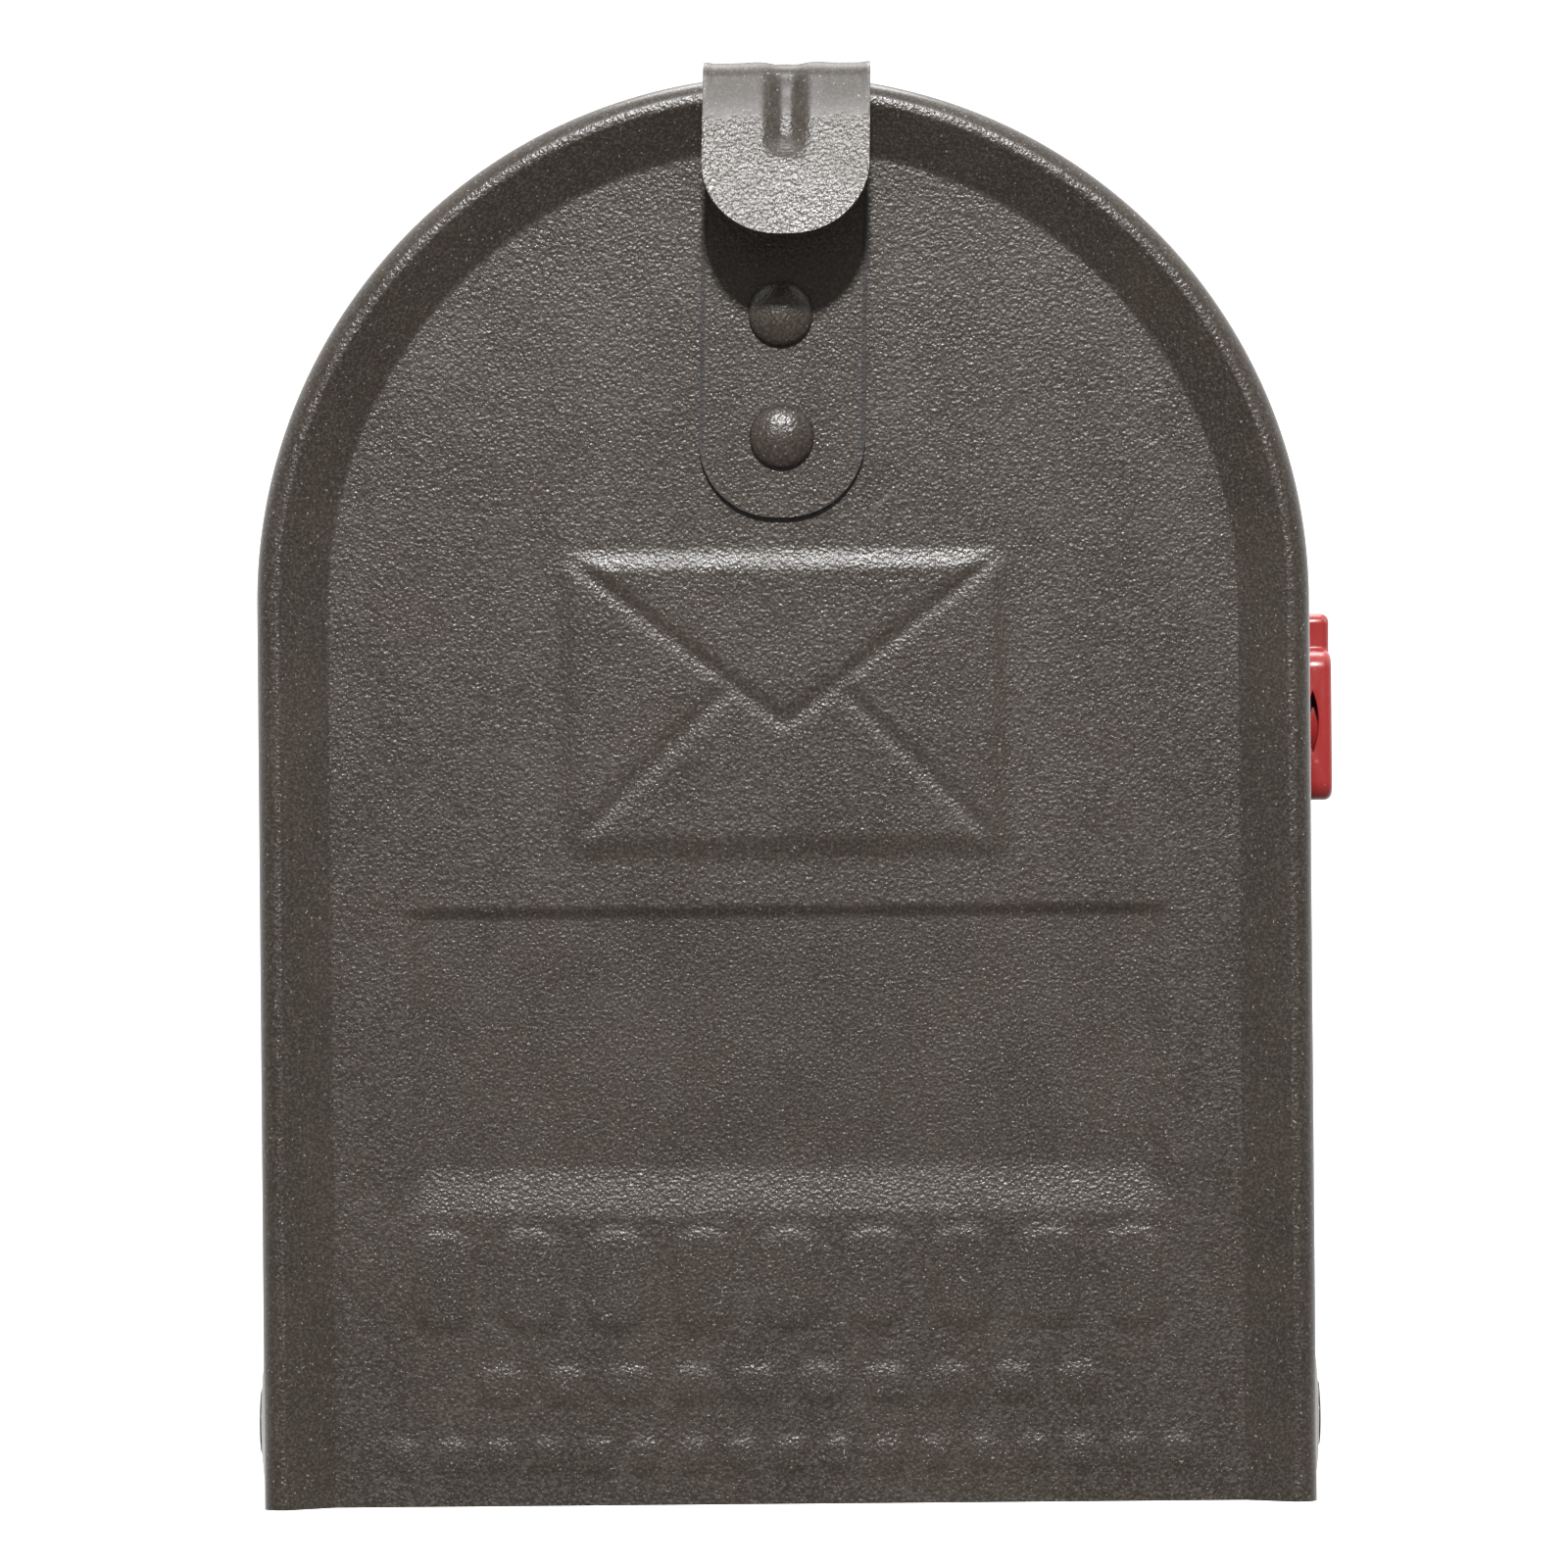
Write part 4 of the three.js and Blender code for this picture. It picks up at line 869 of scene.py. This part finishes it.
class Finish:
    """A node material with short ways to add textures in the piece's own coordinates."""

    def __init__(self, name):
        self.material = bpy.data.materials.new(name)
        self.material.use_nodes = True
        self.tree = self.material.node_tree
        self.shader = self.tree.nodes["Principled BSDF"]
        self.place = self.node("ShaderNodeTexCoord").outputs["Object"]

    def node(self, kind, **settings):
        made = self.tree.nodes.new(kind)
        for key, value in settings.items():
            setattr(made, key, value)
        return made

    def link(self, source, target):
        self.tree.links.new(source, target)

    def noise(self, scale, detail=2.0, roughness=0.5, stretch=None):
        made = self.node("ShaderNodeTexNoise")
        made.inputs["Scale"].default_value = scale
        made.inputs["Detail"].default_value = detail
        made.inputs["Roughness"].default_value = roughness
        place = self.place
        if stretch:
            mapping = self.node("ShaderNodeMapping")
            mapping.inputs["Scale"].default_value = stretch
            self.link(place, mapping.inputs["Vector"])
            place = mapping.outputs["Vector"]
        self.link(place, made.inputs["Vector"])
        return made.outputs["Fac"]

    def cells(self, scale, feature="SMOOTH_F1"):
        made = self.node("ShaderNodeTexVoronoi", feature=feature)
        made.inputs["Scale"].default_value = scale
        self.link(self.place, made.inputs["Vector"])
        return made.outputs["Distance"]

    def ramp(self, source, low, high, out_low=0.0, out_high=1.0):
        made = self.node("ShaderNodeMapRange", interpolation_type="SMOOTHSTEP")
        for socket, value in zip(RANGE, (low, high, out_low, out_high)):
            made.inputs[socket].default_value = value
        self.link(source, made.inputs["Value"])
        return made.outputs["Result"]

    def maths(self, operation, a, b):
        made = self.node("ShaderNodeMath", operation=operation)
        for socket, value in zip(made.inputs, (a, b)):
            if isinstance(value, (int, float)):
                socket.default_value = value
            else:
                self.link(value, socket)
        return made.outputs[0]

    def mix(self, factor, a, b):
        made = self.node("ShaderNodeMix", data_type="RGBA")
        if isinstance(factor, (int, float)):
            made.inputs["Factor"].default_value = factor
        else:
            self.link(factor, made.inputs["Factor"])
        for socket, value in (("A", a), ("B", b)):
            target = [s for s in made.inputs if s.name == socket and s.type == "RGBA"][0]
            if isinstance(value, tuple):
                target.default_value = (*value, 1)
            else:
                self.link(value, target)
        return [s for s in made.outputs if s.type == "RGBA"][0]

    def edges(self, low, high):
        """1 on outer edges and 0 on flat faces."""
        return self.ramp(self.node("ShaderNodeNewGeometry").outputs["Pointiness"], low, high)

    def bump(self, height, distance, strength=1.0):
        made = self.node("ShaderNodeBump")
        made.inputs["Distance"].default_value = distance
        if isinstance(strength, (int, float)):
            made.inputs["Strength"].default_value = strength
        else:
            self.link(strength, made.inputs["Strength"])
        self.link(height, made.inputs["Height"])
        return made

    def set(self, **values):
        for key, value in values.items():
            self.shader.inputs[key.replace("_", " ")].default_value = value


CRINKLE_HEIGHT = 0.083 * MM
BRONZE_DARK, BRONZE_LIGHT = (0.023, 0.017, 0.0125), (0.0295, 0.022, 0.016)
BRONZE_GRAIN, BRONZE_FLECK = (0.070, 0.060, 0.050), (0.20, 0.185, 0.165)
# The second colour on the next line is a painted shade, near black, for the gap along the strap's
# edges.
BRONZE_WORN, BRONZE_PAINTED_SHADE = (0.11, 0.098, 0.085), (0.006, 0.0045, 0.0035)
RED_DEEP, RED_PALE = (0.235, 0.016, 0.015), (0.29, 0.024, 0.022)
RED_SPECK, RED_WORN = (0.42, 0.16, 0.14), (0.46, 0.13, 0.12)
ZINC_DARK, ZINC_LIGHT, ZINC_STAIN = (0.52, 0.53, 0.54), (0.70, 0.69, 0.66), (0.40, 0.38, 0.34)
NYLON_DARK, NYLON_LIGHT = (0.72, 0.70, 0.62), (0.82, 0.80, 0.73)


def bronze_finish():
    """Dark bronze powder coat with a fine crinkle, flowed smooth where the sheet is bent hard."""
    finish = Finish("bronze_crinkle_coat")
    smooth_coat = finish.node("ShaderNodeAttribute", attribute_name="smooth_coat").outputs["Fac"]
    ragged = finish.maths("MULTIPLY", finish.maths("SUBTRACT", finish.noise(900, 2.0), 0.5), 0.9)
    flowed = finish.ramp(finish.maths("ADD", smooth_coat, ragged), 0.1, 0.9)
    cells = finish.cells(2000)
    folds = finish.noise(2700, 2.0, 0.55)
    fine = finish.noise(5200, 1.0)
    height = finish.maths("ADD", finish.maths("MULTIPLY", cells, 1.1),
                          finish.maths("MULTIPLY", folds, 0.9))
    height = finish.maths("ADD", height, finish.maths("MULTIPLY", fine, 0.12))
    strength = finish.ramp(flowed, 0, 1, 1.0, 0.06)
    crinkle = finish.bump(height, CRINKLE_HEIGHT, strength)
    wave = finish.bump(finish.noise(24, 1.0), 0.0009, 0.08)
    finish.link(crinkle.outputs["Normal"], wave.inputs["Normal"])
    finish.link(wave.outputs["Normal"], finish.shader.inputs["Normal"])
    mottled = finish.mix(finish.ramp(finish.noise(60, 4.0, 0.6), 0.35, 0.68), BRONZE_DARK,
                         BRONZE_LIGHT)
    grained = finish.mix(finish.ramp(finish.noise(2300, 2.0), 0.42, 0.68, 0.0, 0.62), mottled,
                         BRONZE_GRAIN)
    flecked = finish.mix(finish.ramp(finish.noise(2600, 0.0), 0.775, 0.82), grained, BRONZE_FLECK)
    worn = finish.maths("MULTIPLY", finish.edges(0.56, 0.72),
                        finish.ramp(finish.noise(220, 4.0, 0.7), 0.42, 0.62))
    colour = finish.mix(finish.maths("MULTIPLY", worn, 0.55), flecked, BRONZE_WORN)
    # Painted shade: along the strap's marked outer edges the colour is mixed most of the way to near
    # black, standing in for the shade in the gap to the panel. The roughness there is raised too.
    painted_crevice_shade = finish.node("ShaderNodeAttribute", attribute_name="painted_crevice_shade").outputs["Fac"]
    colour = finish.mix(finish.maths("MULTIPLY", painted_crevice_shade, 0.8), colour, BRONZE_PAINTED_SHADE)
    finish.link(colour, finish.shader.inputs["Base Color"])
    rough = finish.ramp(finish.noise(90, 3.0), 0.3, 0.7, 0.29, 0.35)
    rough = finish.maths("ADD", rough, finish.maths("MULTIPLY", painted_crevice_shade, 0.3))
    rough = finish.maths("SUBTRACT", rough, finish.maths("MULTIPLY", worn, 0.06))
    satin = finish.node("ShaderNodeAttribute", attribute_name="satin").outputs["Fac"]
    rough = finish.maths("ADD", rough, finish.maths("MULTIPLY", satin, 0.17))
    finish.link(rough, finish.shader.inputs["Roughness"])
    finish.set(IOR=1.5, Specular_IOR_Level=0.48)
    return finish.material


def red_finish():
    """Glossy moulded plastic with a little flow, dulled and paler along its edges."""
    finish = Finish("flag_red_plastic")
    flow = finish.noise(22, 3.0, 0.55, (0.25, 1, 1))
    base = finish.mix(finish.ramp(flow, 0.3, 0.7), RED_DEEP, RED_PALE)
    specks = finish.ramp(finish.noise(900, 1.0), 0.70, 0.76, 0.0, 0.35)
    base = finish.mix(specks, base, RED_SPECK)
    worn = finish.maths("MULTIPLY", finish.edges(0.54, 0.66),
                        finish.ramp(finish.noise(260, 3.0), 0.4, 0.65))
    colour = finish.mix(finish.maths("MULTIPLY", worn, 0.35), base, RED_WORN)
    finish.link(colour, finish.shader.inputs["Base Color"])
    rough = finish.ramp(finish.noise(140, 4.0, 0.65), 0.3, 0.7, 0.24, 0.36)
    finish.link(rough, finish.shader.inputs["Roughness"])
    peel = finish.bump(finish.noise(420, 2.0), 0.00005, 0.6)
    scratches = finish.bump(finish.noise(900, 2.0, 0.6, (1, 0.08, 1)), 0.00002, 0.5)
    finish.link(peel.outputs["Normal"], scratches.inputs["Normal"])
    finish.link(scratches.outputs["Normal"], finish.shader.inputs["Normal"])
    finish.set(IOR=1.49)
    return finish.material


def zinc_finish():
    """Bright zinc-plated steel with a fine blotchy bloom and drawing marks."""
    finish = Finish("zinc_plated_steel")
    bloom = finish.ramp(finish.noise(260, 4.0, 0.6), 0.3, 0.7)
    colour = finish.mix(bloom, ZINC_DARK, ZINC_LIGHT)
    stain = finish.ramp(finish.cells(320, "F1"), 0.55, 0.9, 0.0, 0.4)
    colour = finish.mix(stain, colour, ZINC_STAIN)
    finish.link(colour, finish.shader.inputs["Base Color"])
    rough = finish.ramp(finish.noise(700, 3.0), 0.3, 0.7, 0.26, 0.46)
    finish.link(rough, finish.shader.inputs["Roughness"])
    marks = finish.bump(finish.noise(1600, 2.0, 0.6), 0.00003, 0.6)
    finish.link(marks.outputs["Normal"], finish.shader.inputs["Normal"])
    finish.set(Metallic=1.0)
    return finish.material


def nylon_finish():
    """Natural nylon washers, slightly waxy."""
    finish = Finish("natural_nylon")
    colour = finish.mix(finish.ramp(finish.noise(180, 3.0), 0.3, 0.7), NYLON_DARK, NYLON_LIGHT)
    finish.link(colour, finish.shader.inputs["Base Color"])
    rough = finish.ramp(finish.noise(500, 2.0), 0.3, 0.7, 0.42, 0.58)
    finish.link(rough, finish.shader.inputs["Roughness"])
    grain = finish.bump(finish.noise(1400, 2.0), 0.00004, 0.5)
    finish.link(grain.outputs["Normal"], finish.shader.inputs["Normal"])
    finish.set(IOR=1.53, Subsurface_Weight=0.15, Subsurface_Scale=0.002)
    return finish.material


def stage_finish(name, colour, roughness, glow):
    """Faintly uneven matt paint that glows, so that it stays pale away from the lights."""
    finish = Finish(name)
    soft = finish.mix(finish.ramp(finish.noise(3, 2.0), 0.3, 0.7), colour,
                      tuple(c * 0.985 for c in colour))
    finish.link(soft, finish.shader.inputs["Base Color"])
    finish.set(Roughness=roughness, Specular_IOR_Level=0.1, Emission_Color=(1, 1, 1, 1),
               Emission_Strength=glow)
    return finish.material


FINISHES = {"bronze_coat": bronze_finish(), "flag_red": red_finish(), "zinc_steel": zinc_finish(),
            "nylon": nylon_finish()}


def place(piece, node, body, kind):
    """Puts a fine piece in its CAD node's stead."""
    piece.data.materials.clear()
    piece.data.materials.append(FINISHES[kind])
    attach(piece, body)
    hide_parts(node)


place(make_body(), "body_shell", "body", "bronze_coat")
place(make_floor(), "floor_panel", "body", "bronze_coat")
place(make_rear(), "rear_panel", "body", "bronze_coat")
place(make_door(), "door_panel", "door", "bronze_coat")
place(make_strap(), "latch_strap", "door", "bronze_coat")
place(make_catch(), "body_catch", "catch", "bronze_coat")
place(make_flag(), "flag", "signal_flag", "flag_red")
for made in make_hardware():
    place(*made)


# ---- Stage, light and camera

FLOOR_DROP = 62 * MM
FLOOR_HALF = 6.0
WORLD_BACK, WORLD_FRONT = 1.85, 0.29
WORLD_SPREAD = (-0.55, 0.65)
WORLD_BRIGHT = (0, 0.8, 0.6)
KEY_ELEVATION = math.radians(33)
KEY_DISTANCE, KEY_SIZE, KEY_POWER = 1.8, 0.13, 52
TOP_PLACE, TOP_TARGET = (0.0, 0.3, 1.6), (0, -0.1, 0.1)
TOP_SIZE, TOP_POWER = 0.9, 22
FACE = Vector((0, DOOR_FRONT, 0.12))
ROLL = 0.5
FRAME_WIDTH = 0.23905
SENSOR_WIDTH = 36
CAMERA_DISTANCE = 1.4
CAMERA_X, CAMERA_Z = -0.0001, 0.08815


def make_stage():
    """A pale floor, low enough for the open door to hang clear of it. It lights nothing itself."""
    size, low = FLOOR_HALF, BOTTOM - FLOOR_DROP
    corners = [(-size, -size, low), (size, -size, low), (size, size, low), (-size, size, low)]
    floor = new_object("pale_floor", corners, [(0, 1, 2, 3)])
    floor.data.materials.append(stage_finish("pale_floor_paint", (0.62, 0.62, 0.615), 0.7, 1.0))
    floor.visible_diffuse = False
    floor.visible_glossy = False


def make_world():
    """White as a backdrop. As a light it is bright above and behind the object, and dim in front."""
    world = bpy.data.worlds.new("studio")
    bpy.context.scene.world = world
    world.use_nodes = True
    tree = world.node_tree
    background = tree.nodes["Background"]
    direction = tree.nodes.new("ShaderNodeTexCoord").outputs["Generated"]
    towards = tree.nodes.new("ShaderNodeVectorMath")
    towards.operation = "DOT_PRODUCT"
    towards.inputs[1].default_value = WORLD_BRIGHT
    tree.links.new(direction, towards.inputs[0])
    spread = tree.nodes.new("ShaderNodeMapRange")
    spread.interpolation_type = "SMOOTHSTEP"
    for socket, value in zip(RANGE, (*WORLD_SPREAD, WORLD_FRONT, WORLD_BACK)):
        spread.inputs[socket].default_value = value
    tree.links.new(towards.outputs["Value"], spread.inputs["Value"])
    seen = tree.nodes.new("ShaderNodeMath")
    seen.operation = "MAXIMUM"
    tree.links.new(tree.nodes.new("ShaderNodeLightPath").outputs["Is Camera Ray"], seen.inputs[0])
    tree.links.new(spread.outputs["Result"], seen.inputs[1])
    tree.links.new(seen.outputs[0], background.inputs["Strength"])
    background.inputs["Color"].default_value = (1, 1, 1, 1)


def area_light(name, place, target, size, power):
    """A round light at a place, turned towards the target."""
    light = bpy.data.lights.new(name, "AREA")
    light.shape = "DISK"
    light.size = size
    light.energy = power
    obj = bpy.data.objects.new(name, light)
    bpy.context.scene.collection.objects.link(obj)
    obj.location = place
    obj.rotation_euler = (Vector(target) - Vector(place)).to_track_quat("-Z", "Y").to_euler()


def make_lights():
    away = Vector((0, -math.cos(KEY_ELEVATION), math.sin(KEY_ELEVATION)))
    area_light("key", FACE + away * KEY_DISTANCE, FACE, KEY_SIZE, KEY_POWER)
    area_light("top_soft", TOP_PLACE, TOP_TARGET, TOP_SIZE, TOP_POWER)


def make_camera():
    """Straight on to the door, at its mid height, rolled by half a degree."""
    camera = bpy.data.objects.new("camera", bpy.data.cameras.new("camera"))
    bpy.context.scene.collection.objects.link(camera)
    camera.location = (CAMERA_X, DOOR_FRONT - CAMERA_DISTANCE, CAMERA_Z)
    camera.rotation_mode = "QUATERNION"
    level = Vector((0, 1, 0)).to_track_quat("-Z", "Y")
    camera.rotation_quaternion = Quaternion((0, 1, 0), math.radians(ROLL)) @ level
    camera.data.sensor_width = SENSOR_WIDTH
    camera.data.lens = SENSOR_WIDTH * CAMERA_DISTANCE / FRAME_WIDTH
    camera.data.clip_start = 0.05
    camera.data.clip_end = 50
    bpy.context.scene.camera = camera


make_stage()
make_world()
make_lights()
make_camera()
bpy.context.scene.view_settings.view_transform = "Standard"
